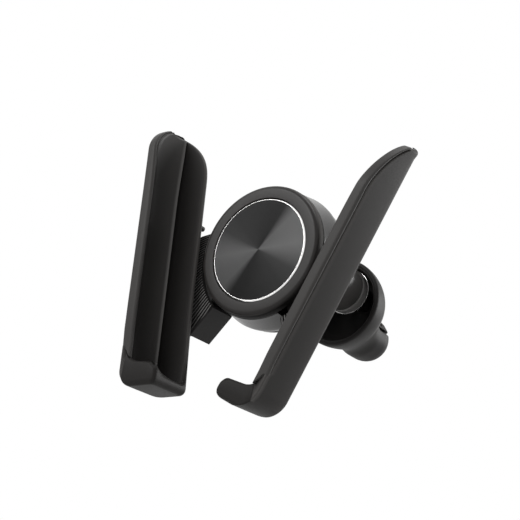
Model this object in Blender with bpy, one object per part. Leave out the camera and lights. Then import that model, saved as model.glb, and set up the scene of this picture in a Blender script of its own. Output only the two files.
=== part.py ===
"""Air vent phone holder with two swinging trough arms, a ball joint and a sprung vent clip.

Metres, +Z up. The origin is the centre of the disc plate's front face; -Y looks at the phone's back.
Lengths along an arm are told as w (inward from its outer face), d (rearward from its front edge)
and t (up from the underside of its foot).
"""
import math

import bmesh
import bpy
from mathutils import Matrix, Vector

# Fits shared by all pieces
SEAT_GAP = 0.0003          # between pieces that touch
RUN_GAP = 0.0001           # radial, pins in their holes
MOVE_GAP = 0.0006          # between pieces that pass each other

# Disc plate and bezel
DISC_RADIUS = 0.0197
DISC_THICKNESS = 0.0015
DISC_CHAMFER = 0.0005
BEZEL_RADIUS = 0.0252
BEZEL_EDGE_RADIUS = 0.0016
BEZEL_WEB = 0.0015

# Drum housing and back cover
DRUM_REAR_RADIUS = 0.0264
DRUM_WIDEST_Y = 0.0130
DRUM_WALL = 0.0022
DRUM_REAR_Y = 0.0166
DRUM_FLOOR = 0.0020
COVER_RADIUS = 0.0256
COVER_THICKNESS = 0.0022
SLOT_REAR_Y = 0.0133
SLOT_TOP_DEG = 14.0
SLOT_BOTTOM_DEG = -57.0

# Pivots and gears of the swinging wings
PIVOT_X = 0.0050
PIVOT_Z = 0.0155
PIN_RADIUS = 0.0014
HUB_RADIUS = 0.0037
HUB_FRONT_Y = 0.0078
GEAR_TEETH = 10
GEAR_TIP = 0.00088         # tooth height above the pitch circle
GEAR_BACKLASH_DEG = 1.6
SPRING_RADIUS = 0.0026
SPRING_WIRE = 0.00035
SPRING_TURNS = 3

# Wings
WING_FRONT_Y = 0.0033
WING_DEPTH = 0.0130
WING_APEX = (0.0077, 0.0178)
WING_LOWER_DEG = 29.6      # from straight down
WING_UPPER_DEG = 69.8
WING_EDGE_RADIUS = 0.0006
WING_END_W = 0.0125        # where the full depth ends, behind the arm
FLANGE_END_W = 0.0050
FLANGE_REAR_Y = 0.0053
FLANGE_T = (0.0230, 0.0560)
NECK_FRONT_Y = 0.0042
NECK_DEPTH = 0.0086
NECK_TOP_DEG = -16.0
NECK_BOTTOM_DEG = -50.0
RIDGE_APEX_Z = 0.0180
RIDGE_PITCH_DEG = 1.45
RIDGE_DEPTH = 0.00045

# Arms
ARM_LEAN_DEG = 14.0
ARM_FOOT_X = 0.0290
ARM_FOOT_Z = -0.0598
ARM_FRONT_Y = -0.0172
ARM_LENGTH = 0.1038
ARM_DEPTH = 0.0187
ARM_WALL = 0.0017
ARM_BACK = 0.0023
ARM_REACH = 0.0152
ARM_FRONT_RADIUS = 0.0008
ARM_REAR_RADIUS = 0.0027
RIM_RADIUS = 0.0010
HEEL_RADIUS = 0.0085
FOOT_REACH = 0.0163
FOOT_THICKNESS = 0.0066
FOOT_FILLET = 0.0058
FOOT_EDGE_RADIUS = 0.0012
FOOT_RISE = 0.0013         # the foot is this much thicker at its root
TIP_SWEEP_LENGTH = 0.0188  # from where the front edge starts to sweep back to the tip
TIP_SWEEP = 0.0155         # how far it has swept back at the very tip
TIP_RIM_LENGTH = 0.0234    # from where the rim starts to round in to the tip
TIP_RIM_END = 0.0006       # from where it is all in to the tip
TIP_ROUNDING = 0.0018

# Soft pads in the arms
PAD_WALL = 0.0011
PAD_LIP_REACH = 0.0052
PAD_FADE_LENGTH = 0.0260   # the lip runs out over this length
PAD_FADE_END = 0.0150      # from where it has run out to the arm's tip
PAD_FRONT_INSET = 0.0002
PAD_CREST_ROOM = 0.0022    # between the crest and the back wall
PAD_CREST_REACH = 0.0043
PAD_TOP_INSET = 0.0050     # below the arm's tip
PEG_RADIUS = 0.0010        # small peg on the arm's back wall, above the wing
PEG_END_Y = 0.0086
PEG_PLACE = (0.0097, 0.0672)

# Screws
SCREW_RADIUS = 0.0010
SCREW_HEAD_RADIUS = 0.0019
SCREW_HEAD_HEIGHT = 0.0014
ARM_SCREW_T = (0.0270, 0.0510)
ARM_SCREW_W = 0.0086
COVER_SCREW_RING = 0.0205

# Ball joint on the neck
NECK_Z = 0.0050
BALL_Y = 0.0540
BALL_RADIUS = 0.0060
BALL_GAP = 0.0002
SOCKET_RADIUS = 0.0090
SOCKET_BORE = 0.0069
SOCKET_FRONT_Y = 0.0445
SOCKET_REAR_Y = 0.0594
STUB_RADIUS = 0.0079
STUB_LENGTH = 0.0026
NUT_RADIUS = 0.0091
NUT_LENGTH = 0.0047
NUT_LIP = 0.0019
NUT_OPENING = 0.0064
NUT_CONE_LENGTH = 0.0018   # the nut tapers at its rear to clear the bell when the head turns
NUT_CONE_RADIUS = 0.0074
SOCKET_FLOOR = 0.0030
SEAT_SPLIT = 0.0012        # each seat ends this far from the ball's middle
SEAT_REACH = 0.0046        # each seat reaches this far along the ball
SEAT_WALL = 0.0005
SHAFT_RADIUS = 0.0026

# Clip: bell, jaws and pads
BELL_Z = -0.0008
BELL_RADIUS = 0.0178
BELL_WALL = 0.0020
BELL_MOUTH_Y = 0.0582
BELL_LIP = 0.0006
BELL_DEPTH = 0.0200
LOBE_RADIUS = 0.0093
LOBE_Y = 0.0845
LOBE_Z = -0.0081
LOBE_START_Y = 0.0700
LOBE_ROOT_RADIUS = 0.0080
LOBE_FULL_Y = 0.0800       # from here on the lobe has its full radius
JAW_SLIT = 0.0012          # between the bare jaw faces, closed
JAW_SLIT_RISE = 0.0042     # above the lobe's axis
JAW_PAD_PROUD = 0.0004
JAW_PAD_RECESS = 0.0006
JAW_PAD_HALF_WIDTH = 0.0050
JAW_PAD_Y = (0.0850, 0.0908)
JAW_PIN_Y = 0.0818
JAW_PIN_Z = -0.0015
JAW_PIN_RADIUS = 0.0009
LUG_HALF_WIDTH = 0.0016
LUG_RADIUS = 0.0018
JAW_BELL_ROOM = 0.0007     # between the upper jaw and the bell, so that the jaw can open
JAW_SPRING_RADIUS = 0.00122
JAW_SPRING_WIRE = 0.00020
JAW_SPRING_TURNS = 3
JAW_SPRING_X = 0.0022      # where the coil starts beside the lug

SHARP_ANGLE = math.radians(32)
FINE = 48                  # segments of the large round pieces
MEDIUM = 28
SMALL = 12


def clear_scene():
    for obj in list(bpy.data.objects):
        bpy.data.objects.remove(obj, do_unlink=True)


def finish(name, colour, roughness, metallic=0.0):
    material = bpy.data.materials.new(name)
    material.use_nodes = True
    shader = material.node_tree.nodes["Principled BSDF"]
    shader.inputs["Base Color"].default_value = (*colour, 1.0)
    shader.inputs["Roughness"].default_value = roughness
    shader.inputs["Metallic"].default_value = metallic
    material.diffuse_color = (*colour, 1.0)
    return material


# Shapes

def turned(profile, segments, centre=(0.0, 0.0), closed=False):
    """Spin a profile of (radius, y) round an axis along Y through centre (x, z)."""
    shape = bmesh.new()
    verts = [shape.verts.new((radius, y, 0.0)) for radius, y in profile]
    for a, b in zip(verts, verts[1:]):
        shape.edges.new((a, b))
    if closed:
        shape.edges.new((verts[-1], verts[0]))
    bmesh.ops.spin(shape, geom=shape.verts[:] + shape.edges[:], cent=(0, 0, 0), axis=(0, 1, 0),
                   angle=math.tau, steps=segments, use_merge=True)
    bmesh.ops.remove_doubles(shape, verts=shape.verts, dist=1e-7)
    bmesh.ops.recalc_face_normals(shape, faces=shape.faces)
    bmesh.ops.translate(shape, verts=shape.verts, vec=(centre[0], 0.0, centre[1]))
    return shape


def rod(radius, y_start, y_end, segments, centre=(0.0, 0.0)):
    return turned([(0, y_start), (radius, y_start), (radius, y_end), (0, y_end)], segments, centre)


def extruded(outline, y_start, y_end):
    """A flat outline of (x, z) points, extruded along Y."""
    shape = bmesh.new()
    face = shape.faces.new([shape.verts.new((x, y_start, z)) for x, z in outline])
    grown = bmesh.ops.extrude_face_region(shape, geom=[face])
    moved = [item for item in grown["geom"] if isinstance(item, bmesh.types.BMVert)]
    bmesh.ops.translate(shape, verts=moved, vec=(0.0, y_end - y_start, 0.0))
    bmesh.ops.recalc_face_normals(shape, faces=shape.faces)
    return shape


def lofted(rings):
    """Skin a row of rings that have the same number of points, and cap both ends."""
    shape = bmesh.new()
    rows = [[shape.verts.new(point) for point in ring] for ring in rings]
    count = len(rows[0])
    for lower, upper in zip(rows, rows[1:]):
        for i in range(count):
            j = (i + 1) % count
            shape.faces.new((lower[i], lower[j], upper[j], upper[i]))
    shape.faces.new(rows[0])
    shape.faces.new(rows[-1])
    bmesh.ops.recalc_face_normals(shape, faces=shape.faces)
    return shape


def block(low, high):
    shape = bmesh.new()
    bmesh.ops.create_cube(shape, size=1.0)
    size = [b - a for a, b in zip(low, high)]
    bmesh.ops.scale(shape, verts=shape.verts, vec=size)
    bmesh.ops.translate(shape, verts=shape.verts, vec=[(a + b) / 2 for a, b in zip(low, high)])
    return shape


def cross_rod(radius, x_start, x_end, segments, y, z):
    """A rod along X."""
    shape = rod(radius, x_start, x_end, segments)
    turn = Matrix.Rotation(math.radians(-90), 4, "Z")
    bmesh.ops.transform(shape, matrix=Matrix.Translation((0, y, z)) @ turn, verts=shape.verts)
    return shape


def coil(radius, wire, turns, y_start, pitch, centre, sides=5, steps=12, legs=0.0):
    """A round wire wound about an axis along Y, with straight ends of the given length."""
    path = []
    for i in range(int(turns * steps) + 1):
        angle = math.tau * i / steps
        path.append(Vector((radius * math.cos(angle), y_start + pitch * i / steps, radius * math.sin(angle))))
    if legs:
        first = (path[0] - path[1]).normalized()
        last = (path[-1] - path[-2]).normalized()
        path = [path[0] + first * legs] + path + [path[-1] + last * legs]
    rings = []
    for i, point in enumerate(path):
        ahead = path[min(i + 1, len(path) - 1)] - path[max(i - 1, 0)]
        ahead.normalize()
        side = ahead.cross(Vector((0, 1, 0))).normalized()
        up = side.cross(ahead)
        ring = []
        for k in range(sides):
            angle = math.tau * k / sides
            offset = side * (wire * math.cos(angle)) + up * (wire * math.sin(angle))
            ring.append(point + offset + Vector((centre[0], 0.0, centre[1])))
        rings.append(ring)
    return lofted(rings)


def arc(centre, radius, start_deg, end_deg, steps):
    points = []
    for i in range(steps + 1):
        angle = math.radians(start_deg + (end_deg - start_deg) * i / steps)
        points.append((centre[0] + radius * math.cos(angle), centre[1] + radius * math.sin(angle)))
    return points


# Objects

def add(name, shape, material, pivot=(0.0, 0.0, 0.0), mirror=False):
    """Make an object from a shape told in world coordinates, with its origin at pivot."""
    if mirror:
        bmesh.ops.scale(shape, vec=(-1, 1, 1), verts=shape.verts)
        bmesh.ops.reverse_faces(shape, faces=shape.faces)
    bmesh.ops.translate(shape, verts=shape.verts, vec=[-value for value in pivot])
    mesh = bpy.data.meshes.new(name)
    shape.to_mesh(mesh)
    shape.free()
    mesh.shade_smooth()
    mesh.set_sharp_from_angle(angle=SHARP_ANGLE)
    obj = bpy.data.objects.new(name, mesh)
    obj.location = pivot
    bpy.context.collection.objects.link(obj)
    if material:
        mesh.materials.append(material)
    return obj


def boolean(obj, shape, operation, label, mirror=False):
    tool = add(f"{obj.name}_{label}", shape, None, mirror=mirror)
    tool.hide_render = True
    tool.display_type = "WIRE"
    modifier = obj.modifiers.new(label, "BOOLEAN")
    modifier.operation = operation
    modifier.solver = "EXACT"
    modifier.object = tool


def cut(obj, shape, label, mirror=False):
    boolean(obj, shape, "DIFFERENCE", label, mirror)


def join(obj, shape, label, mirror=False):
    boolean(obj, shape, "UNION", label, mirror)


def soften(obj, width, segments=1, limit_deg=30):
    modifier = obj.modifiers.new("soften", "BEVEL")
    modifier.width = width
    modifier.segments = segments
    modifier.limit_method = "ANGLE"
    modifier.angle_limit = math.radians(limit_deg)
    modifier.use_clamp_overlap = True


# Disc and drum

def disc_plate(material):
    edge = DISC_RADIUS - DISC_CHAMFER
    profile = [(0, 0), (edge, 0), (DISC_RADIUS, DISC_CHAMFER * 0.7),
               (DISC_RADIUS, DISC_THICKNESS), (0, DISC_THICKNESS)]
    add("disc_plate", turned(profile, FINE), material)


BEZEL_REAR_Y = DISC_THICKNESS + SEAT_GAP + BEZEL_WEB
DRUM_FRONT_Y = BEZEL_REAR_Y + SEAT_GAP
DRUM_INNER = BEZEL_RADIUS - DRUM_WALL
DRUM_FLOOR_Y = DRUM_REAR_Y - DRUM_FLOOR


def bezel(material):
    inner = DISC_RADIUS + SEAT_GAP
    round_y = BEZEL_EDGE_RADIUS
    rounding = [(BEZEL_RADIUS - round_y + round_y * math.sin(a), round_y - round_y * math.cos(a))
                for a in [math.radians(15 * i) for i in range(7)]]
    profile = [(0, DISC_THICKNESS + SEAT_GAP), (inner, DISC_THICKNESS + SEAT_GAP), (inner, 0.0001)]
    profile += rounding
    profile += [(BEZEL_RADIUS, BEZEL_REAR_Y), (0, BEZEL_REAR_Y)]
    add("bezel", turned(profile, FINE), material)


def drum_outer(y):
    """Outer radius of the drum, which flares to its widest and then rounds in."""
    if y < DRUM_WIDEST_Y:
        share = (y - DRUM_FRONT_Y) / (DRUM_WIDEST_Y - DRUM_FRONT_Y)
        return BEZEL_RADIUS + (DRUM_REAR_RADIUS - BEZEL_RADIUS) * share ** 1.3
    share = (y - DRUM_WIDEST_Y) / (DRUM_REAR_Y - DRUM_WIDEST_Y)
    return DRUM_REAR_RADIUS - (DRUM_REAR_RADIUS - COVER_RADIUS) * share ** 2


def slot_cutter():
    """The opening in the drum's side that the neck of the left wing swings in."""
    inner = DRUM_INNER - 0.0010
    outer = DRUM_REAR_RADIUS + 0.0020
    start = 180 - SLOT_TOP_DEG
    end = 180 - SLOT_BOTTOM_DEG
    outline = arc((0, 0), outer, start, end, 12) + arc((0, 0), inner, end, start, 12)
    return extruded(outline, DRUM_FRONT_Y - 0.0010, SLOT_REAR_Y)


def screw_places():
    return [(COVER_SCREW_RING * math.cos(math.radians(a)), COVER_SCREW_RING * math.sin(math.radians(a)))
            for a in (50, 130, 250, 290)]


def drum_housing(material):
    steps = 9
    outside = [DRUM_FRONT_Y + (DRUM_REAR_Y - DRUM_FRONT_Y) * i / steps for i in range(steps + 1)]
    profile = [(0, DRUM_FLOOR_Y), (DRUM_INNER, DRUM_FLOOR_Y), (DRUM_INNER, DRUM_FRONT_Y)]
    profile += [(drum_outer(y), y) for y in outside]
    profile += [(0, DRUM_REAR_Y)]
    housing = add("drum_housing", turned(profile, FINE), material)
    for mirror, side in ((False, "left"), (True, "right")):
        cut(housing, slot_cutter(), f"{side}_slot", mirror)
        hole = rod(PIN_RADIUS + RUN_GAP, DRUM_FLOOR_Y - 0.0010, DRUM_REAR_Y + 0.0010, SMALL, (-PIVOT_X, PIVOT_Z))
        cut(housing, hole, f"{side}_pin_hole", mirror)
    for i, (x, z) in enumerate(screw_places()):
        hole = rod(SCREW_RADIUS + RUN_GAP, DRUM_FLOOR_Y - 0.0010, DRUM_REAR_Y + 0.0010, SMALL, (x, z))
        cut(housing, hole, f"screw_hole_{i + 1}")


COVER_FRONT_Y = DRUM_REAR_Y + SEAT_GAP
COVER_REAR_Y = COVER_FRONT_Y + COVER_THICKNESS


def back_cover(material):
    """The cover carries the tapering neck and the ball socket at its end."""
    edge = 0.0012
    profile = [(0, COVER_FRONT_Y), (COVER_RADIUS, COVER_FRONT_Y), (COVER_RADIUS, COVER_REAR_Y - edge)]
    profile += [(COVER_RADIUS - edge + edge * math.cos(a), COVER_REAR_Y - edge + edge * math.sin(a))
                for a in [math.radians(22.5 * i) for i in range(1, 5)]]
    profile += [(0, COVER_REAR_Y)]
    cover = add("back_cover", turned(profile, FINE), material)
    root = 0.0128
    waist = 0.0074
    waist_y = 0.0390
    flare = [(root, COVER_REAR_Y - 0.0010), (root, COVER_REAR_Y + 0.0006)]
    for i in range(1, 9):
        share = i / 8
        flare.append((waist + (root - waist) * (1 - share) ** 2.2,
                      COVER_REAR_Y + 0.0006 + (waist_y - COVER_REAR_Y) * share))
    stub_end = SOCKET_REAR_Y + STUB_LENGTH
    socket_floor = SOCKET_FRONT_Y + SOCKET_FLOOR
    profile = [(0, COVER_REAR_Y - 0.0010)] + flare
    profile += [(SOCKET_RADIUS - 0.0005, SOCKET_FRONT_Y), (SOCKET_RADIUS, SOCKET_FRONT_Y + 0.0005),
                (SOCKET_RADIUS, SOCKET_REAR_Y), (STUB_RADIUS, SOCKET_REAR_Y), (STUB_RADIUS, stub_end),
                (SOCKET_BORE, stub_end), (SOCKET_BORE, socket_floor), (0, socket_floor)]
    join(cover, turned(profile, MEDIUM, (0, NECK_Z)), "neck")
    for i, (x, z) in enumerate(screw_places()):
        hole = rod(SCREW_RADIUS + RUN_GAP, COVER_FRONT_Y - 0.0010, COVER_REAR_Y + 0.0010, SMALL, (x, z))
        cut(cover, hole, f"screw_hole_{i + 1}")


def cover_screws(material):
    for i, (x, z) in enumerate(screw_places()):
        add(f"cover_screw_{i + 1}", pan_screw(COVER_REAR_Y + SEAT_GAP, DRUM_FLOOR_Y + 0.0004, (x, z)), material)


def pan_screw(head_y, end_y, centre):
    """A pan head screw along Y whose head sits at head_y and whose point is at end_y."""
    out = 1 if head_y > end_y else -1
    top = head_y + out * SCREW_HEAD_HEIGHT
    rounding = 0.0004
    profile = [(0, end_y), (SCREW_RADIUS, end_y), (SCREW_RADIUS, head_y), (SCREW_HEAD_RADIUS, head_y),
               (SCREW_HEAD_RADIUS, top - out * rounding), (SCREW_HEAD_RADIUS - rounding, top), (0, top)]
    return turned(profile, SMALL, centre)


# Pivot pins and springs

def pivot_pins(material):
    for mirror, side in ((False, "left"), (True, "right")):
        pin = rod(PIN_RADIUS, DRUM_FRONT_Y, DRUM_REAR_Y, SMALL, (-PIVOT_X, PIVOT_Z))
        add(f"{side}_pivot_pin", pin, material, mirror=mirror)


def torsion_springs(material):
    pitch = 2 * SPRING_WIRE + 0.0002
    start = DRUM_FRONT_Y + 0.0006
    for mirror, side in ((False, "left"), (True, "right")):
        shape = coil(SPRING_RADIUS, SPRING_WIRE, SPRING_TURNS, start, pitch, (-PIVOT_X, PIVOT_Z), legs=0.0016)
        add(f"{side}_torsion_spring", shape, material, mirror=mirror)


# Wings

def on_arm(w, t):
    """World (x, z) of a point on the left arm."""
    lean = math.radians(ARM_LEAN_DEG)
    x = -ARM_FOOT_X + w * math.cos(lean) - t * math.sin(lean)
    z = ARM_FOOT_Z + w * math.sin(lean) + t * math.cos(lean)
    return x, z


def arm_place(x, z):
    """(w, t) on the left arm of a world point."""
    lean = math.radians(ARM_LEAN_DEG)
    dx = x + ARM_FOOT_X
    dz = z - ARM_FOOT_Z
    return dx * math.cos(lean) + dz * math.sin(lean), -dx * math.sin(lean) + dz * math.cos(lean)


def ray_to_circle(origin, angle_deg, radius):
    """Where a ray that goes down and left, angle_deg from straight down, leaves a circle round the origin."""
    a = math.radians(angle_deg)
    ux, uz = -math.sin(a), -math.cos(a)
    b = origin[0] * ux + origin[1] * uz
    c = origin[0] ** 2 + origin[1] ** 2 - radius ** 2
    s = -b + math.sqrt(b * b - c)
    return origin[0] + s * ux, origin[1] + s * uz


def ray_to_w(origin, angle_deg, w_goal):
    """Where such a ray reaches a given w on the left arm."""
    a = math.radians(angle_deg)
    ux, uz = -math.sin(a), -math.cos(a)
    w_start = arm_place(*origin)[0]
    w_step = arm_place(origin[0] + ux, origin[1] + uz)[0] - w_start
    s = (w_goal - w_start) / w_step
    return origin[0] + s * ux, origin[1] + s * uz


def wing_block():
    inner = DRUM_REAR_RADIUS + MOVE_GAP
    low_in = ray_to_circle(WING_APEX, WING_LOWER_DEG, inner)
    top_in = ray_to_circle(WING_APEX, WING_UPPER_DEG, inner)
    start = math.degrees(math.atan2(top_in[1], top_in[0]))
    end = math.degrees(math.atan2(low_in[1], low_in[0])) + 360
    outline = arc((0, 0), inner, start, end, 10)
    outline += [ray_to_w(WING_APEX, WING_LOWER_DEG, WING_END_W), ray_to_w(WING_APEX, WING_UPPER_DEG, WING_END_W)]
    return extruded(outline, WING_FRONT_Y, WING_FRONT_Y + WING_DEPTH)


def ridge_cutter():
    """Fine V grooves that fan out over the wing's front face, all in one mesh."""
    shape = bmesh.new()
    half = math.radians(RIDGE_PITCH_DEG * 0.30)
    near = 0.0290
    far = 0.0640
    count = int((WING_UPPER_DEG - WING_LOWER_DEG + 14) / RIDGE_PITCH_DEG)
    for i in range(count):
        middle = math.radians(WING_LOWER_DEG - 9 + RIDGE_PITCH_DEG * (i + 0.5))
        ends = []
        for reach in (near, far):
            spread = half * (0.0450 / reach)
            corners = []
            for turn, y in ((-spread, -0.0002), (spread, -0.0002), (0.0, RIDGE_DEPTH)):
                x = -reach * math.sin(middle + turn)
                z = RIDGE_APEX_Z - reach * math.cos(middle + turn)
                corners.append(shape.verts.new((x, WING_FRONT_Y + y, z)))
            ends.append(corners)
        a, b = ends
        shape.faces.new(a)
        shape.faces.new(b)
        for k in range(3):
            m = (k + 1) % 3
            shape.faces.new((a[k], a[m], b[m], b[k]))
    bmesh.ops.recalc_face_normals(shape, faces=shape.faces)
    return shape


def wing_neck():
    """The part of the wing that goes through the drum's slot to its hub."""
    reach = DRUM_REAR_RADIUS + MOVE_GAP + 0.0016
    top = (-reach * math.cos(math.radians(NECK_TOP_DEG)), reach * math.sin(math.radians(NECK_TOP_DEG)))
    low = (-reach * math.cos(math.radians(NECK_BOTTOM_DEG)), reach * math.sin(math.radians(NECK_BOTTOM_DEG)))
    hub_out = (-PIVOT_X - 0.0030, PIVOT_Z - 0.0004)
    hub_in = (-PIVOT_X + 0.0026, PIVOT_Z - 0.0018)
    outline = [hub_in, hub_out, top, low]
    return extruded(outline, NECK_FRONT_Y, NECK_FRONT_Y + NECK_DEPTH)


def involute(angle):
    return math.tan(angle) - angle


def gear_outline(centre, phase_deg):
    """Outline of a small involute gear with play between its teeth."""
    pitch = PIVOT_X
    pressure = math.radians(20)
    base = pitch * math.cos(pressure)
    tip = pitch + GEAR_TIP
    half_at_pitch = math.radians(90 / GEAR_TEETH - GEAR_BACKLASH_DEG)
    points = []
    radii = [base + (tip - base) * i / 3 for i in range(4)]
    halves = [half_at_pitch + involute(pressure) - involute(math.acos(base / r)) for r in radii]
    for tooth in range(GEAR_TEETH):
        middle = math.radians(phase_deg + 360 / GEAR_TEETH * tooth)
        flank = [(HUB_RADIUS, -halves[0] - 0.02)] + [(r, -h) for r, h in zip(radii, halves)]
        flank += [(r, h) for r, h in zip(radii[::-1], halves[::-1])] + [(HUB_RADIUS, halves[0] + 0.02)]
        for r, turn in flank:
            points.append((centre[0] + r * math.cos(middle + turn), centre[1] + r * math.sin(middle + turn)))
    return points


GEAR_FRONT_Y = HUB_FRONT_Y + 0.0004
GEAR_REAR_Y = NECK_FRONT_Y + NECK_DEPTH - 0.0004


def wing_flange():
    """Plate behind the arm's back wall that the arm is screwed to."""
    inner_w = WING_END_W + 0.0004
    low, high = FLANGE_T
    outline = [on_arm(w, t) for w, t in
               ((FLANGE_END_W, low), (inner_w, low), (inner_w, high), (FLANGE_END_W, high))]
    return extruded(outline, ARM_FRONT_Y + ARM_DEPTH + SEAT_GAP, FLANGE_REAR_Y)


def wings(material, pivots):
    wing_rear = WING_FRONT_Y + WING_DEPTH
    arm_rear = ARM_FRONT_Y + ARM_DEPTH
    for mirror, side in ((False, "left"), (True, "right")):
        wing = add(f"{side}_wing", wing_block(), material, pivots[side], mirror)
        soften(wing, WING_EDGE_RADIUS)
        cut(wing, ridge_cutter(), "ridges", mirror)
        join(wing, wing_flange(), "flange", mirror)
        join(wing, wing_neck(), "neck", mirror)
        hub_clear = rod(SPRING_RADIUS + 0.0011, NECK_FRONT_Y - 0.0010, HUB_FRONT_Y, MEDIUM, (-PIVOT_X, PIVOT_Z))
        cut(wing, hub_clear, "spring_room", mirror)
        phase = 0.0 if not mirror else 180.0 / GEAR_TEETH
        gear = extruded(gear_outline((-PIVOT_X, PIVOT_Z), phase), GEAR_FRONT_Y, GEAR_REAR_Y)
        join(wing, gear, "gear", mirror)
        bore = rod(PIN_RADIUS + RUN_GAP, NECK_FRONT_Y - 0.0010, wing_rear, SMALL, (-PIVOT_X, PIVOT_Z))
        cut(wing, bore, "pivot_bore", mirror)
        for i, t in enumerate(ARM_SCREW_T):
            bore = rod(SCREW_RADIUS + RUN_GAP, arm_rear - 0.0010, wing_rear, SMALL, on_arm(ARM_SCREW_W, t))
            cut(wing, bore, f"screw_bore_{i + 1}", mirror)


# Arms

def corner_ring(w0, w1, d0, d1, radii):
    """A rounded rectangle of (w, d) points; radii go outer front, inner front, inner rear, outer rear."""
    limit = 0.49 * min(w1 - w0, d1 - d0)
    r1, r2, r3, r4 = [min(r, limit) for r in radii]
    ring = arc((w0 + r1, d0 + r1), r1, 180, 270, 4)
    ring += arc((w1 - r2, d0 + r2), r2, 270, 360, 4)
    ring += arc((w1 - r3, d1 - r3), r3, 0, 90, 4)
    ring += arc((w0 + r4, d1 - r4), r4, 90, 180, 4)
    return ring


def quarter(radius, distance):
    """How far a rounded edge of this radius has drawn in, this far from the end."""
    if distance >= radius:
        return 0.0
    return radius - math.sqrt(max(radius ** 2 - (radius - distance) ** 2, 0.0))


def tip_sweep(t):
    """How far the arm's front edge has swept back at t."""
    below = ARM_LENGTH - t
    if below >= TIP_SWEEP_LENGTH:
        return 0.0
    share = min(1 - below / TIP_SWEEP_LENGTH, 1.0)
    return TIP_SWEEP * (1 - (1 - share ** 1.8) ** (1 / 1.8))


def rim_reach(t):
    """Reach of the back wall's rim at t."""
    blend = 4 * FOOT_THICKNESS
    if t < blend:
        return FOOT_REACH + (ARM_REACH - FOOT_REACH) * t / blend
    below = ARM_LENGTH - t
    if below > TIP_RIM_LENGTH:
        return ARM_REACH
    share = min((TIP_RIM_LENGTH - below) / (TIP_RIM_LENGTH - TIP_RIM_END), 1.0)
    return ARM_WALL + 0.0006 + (ARM_REACH - ARM_WALL - 0.0006) * (1 - share ** 2.2)


def arm_ring(t):
    end = ARM_LENGTH - t
    foot_round = FOOT_THICKNESS / 2
    w0 = quarter(HEEL_RADIUS, t) + quarter(TIP_ROUNDING, end)
    w1 = rim_reach(t) - quarter(foot_round, t)
    d0 = tip_sweep(t) + quarter(FOOT_EDGE_RADIUS, t)
    d1 = ARM_DEPTH - quarter(FOOT_EDGE_RADIUS, t) - quarter(TIP_ROUNDING, end)
    radii = (ARM_FRONT_RADIUS, RIM_RADIUS, RIM_RADIUS, ARM_REAR_RADIUS)
    ring = corner_ring(w0, w1, d0, d1, radii)
    points = []
    for w, d in ring:
        x, z = on_arm(w, t)
        points.append((x, ARM_FRONT_Y + d, z))
    return points


def arm_stations():
    heel = [HEEL_RADIUS * (1 - math.cos(math.radians(15 * i))) for i in range(7)]
    tip_start = ARM_LENGTH - TIP_RIM_LENGTH
    middle = [1.8 * HEEL_RADIUS, 4 * FOOT_THICKNESS, ARM_LENGTH / 2, tip_start]
    steps = 16
    tip = [tip_start + TIP_RIM_LENGTH * math.sin(math.radians(90 * i / steps))
           for i in range(1, steps + 1)]
    return heel + middle + tip


def channel_cutter():
    """The trough's hollow, above the foot and inside the walls."""
    end_round = FOOT_THICKNESS / 2 - 0.0001
    end_centre = (FOOT_REACH - end_round + 0.00015, FOOT_THICKNESS - end_round)
    outline = arc((ARM_WALL + FOOT_FILLET, FOOT_THICKNESS + FOOT_RISE + FOOT_FILLET), FOOT_FILLET, 180, 262, 7)
    outline += arc(end_centre, end_round, 88, 0, 6)
    outline += [(0.0300, end_centre[1]), (0.0300, ARM_LENGTH + 0.0100), (ARM_WALL, ARM_LENGTH + 0.0100)]
    points = [on_arm(w, t) for w, t in outline]
    rear = ARM_FRONT_Y + ARM_DEPTH - ARM_BACK
    return extruded(points, ARM_FRONT_Y - 0.0100, rear)


def arms(material, pivots):
    arm_rear = ARM_FRONT_Y + ARM_DEPTH
    for mirror, side in ((False, "left"), (True, "right")):
        arm = add(f"{side}_arm", lofted([arm_ring(t) for t in arm_stations()]), material, pivots[side], mirror)
        cut(arm, channel_cutter(), "trough", mirror)
        peg = rod(PEG_RADIUS, arm_rear - ARM_BACK / 2, PEG_END_Y, SMALL, on_arm(*PEG_PLACE))
        join(arm, peg, "peg", mirror)
        for i, t in enumerate(ARM_SCREW_T):
            hole = rod(SCREW_RADIUS + RUN_GAP, arm_rear - ARM_BACK + 0.0006, arm_rear + 0.0010, SMALL,
                       on_arm(ARM_SCREW_W, t))
            cut(arm, hole, f"screw_hole_{i + 1}", mirror)


def arm_screws(material, pivots):
    head_y = FLANGE_REAR_Y + SEAT_GAP
    end_y = ARM_FRONT_Y + ARM_DEPTH - ARM_BACK + 0.0009
    for mirror, side in ((False, "left"), (True, "right")):
        for i, t in enumerate(ARM_SCREW_T):
            shape = pan_screw(head_y, end_y, on_arm(ARM_SCREW_W, t))
            add(f"{side}_arm_screw_{i + 1}", shape, material, pivots[side], mirror)


PAD_FADE_START = ARM_LENGTH - PAD_FADE_END - PAD_FADE_LENGTH
PAD_TOP_T = ARM_LENGTH - PAD_TOP_INSET


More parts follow.
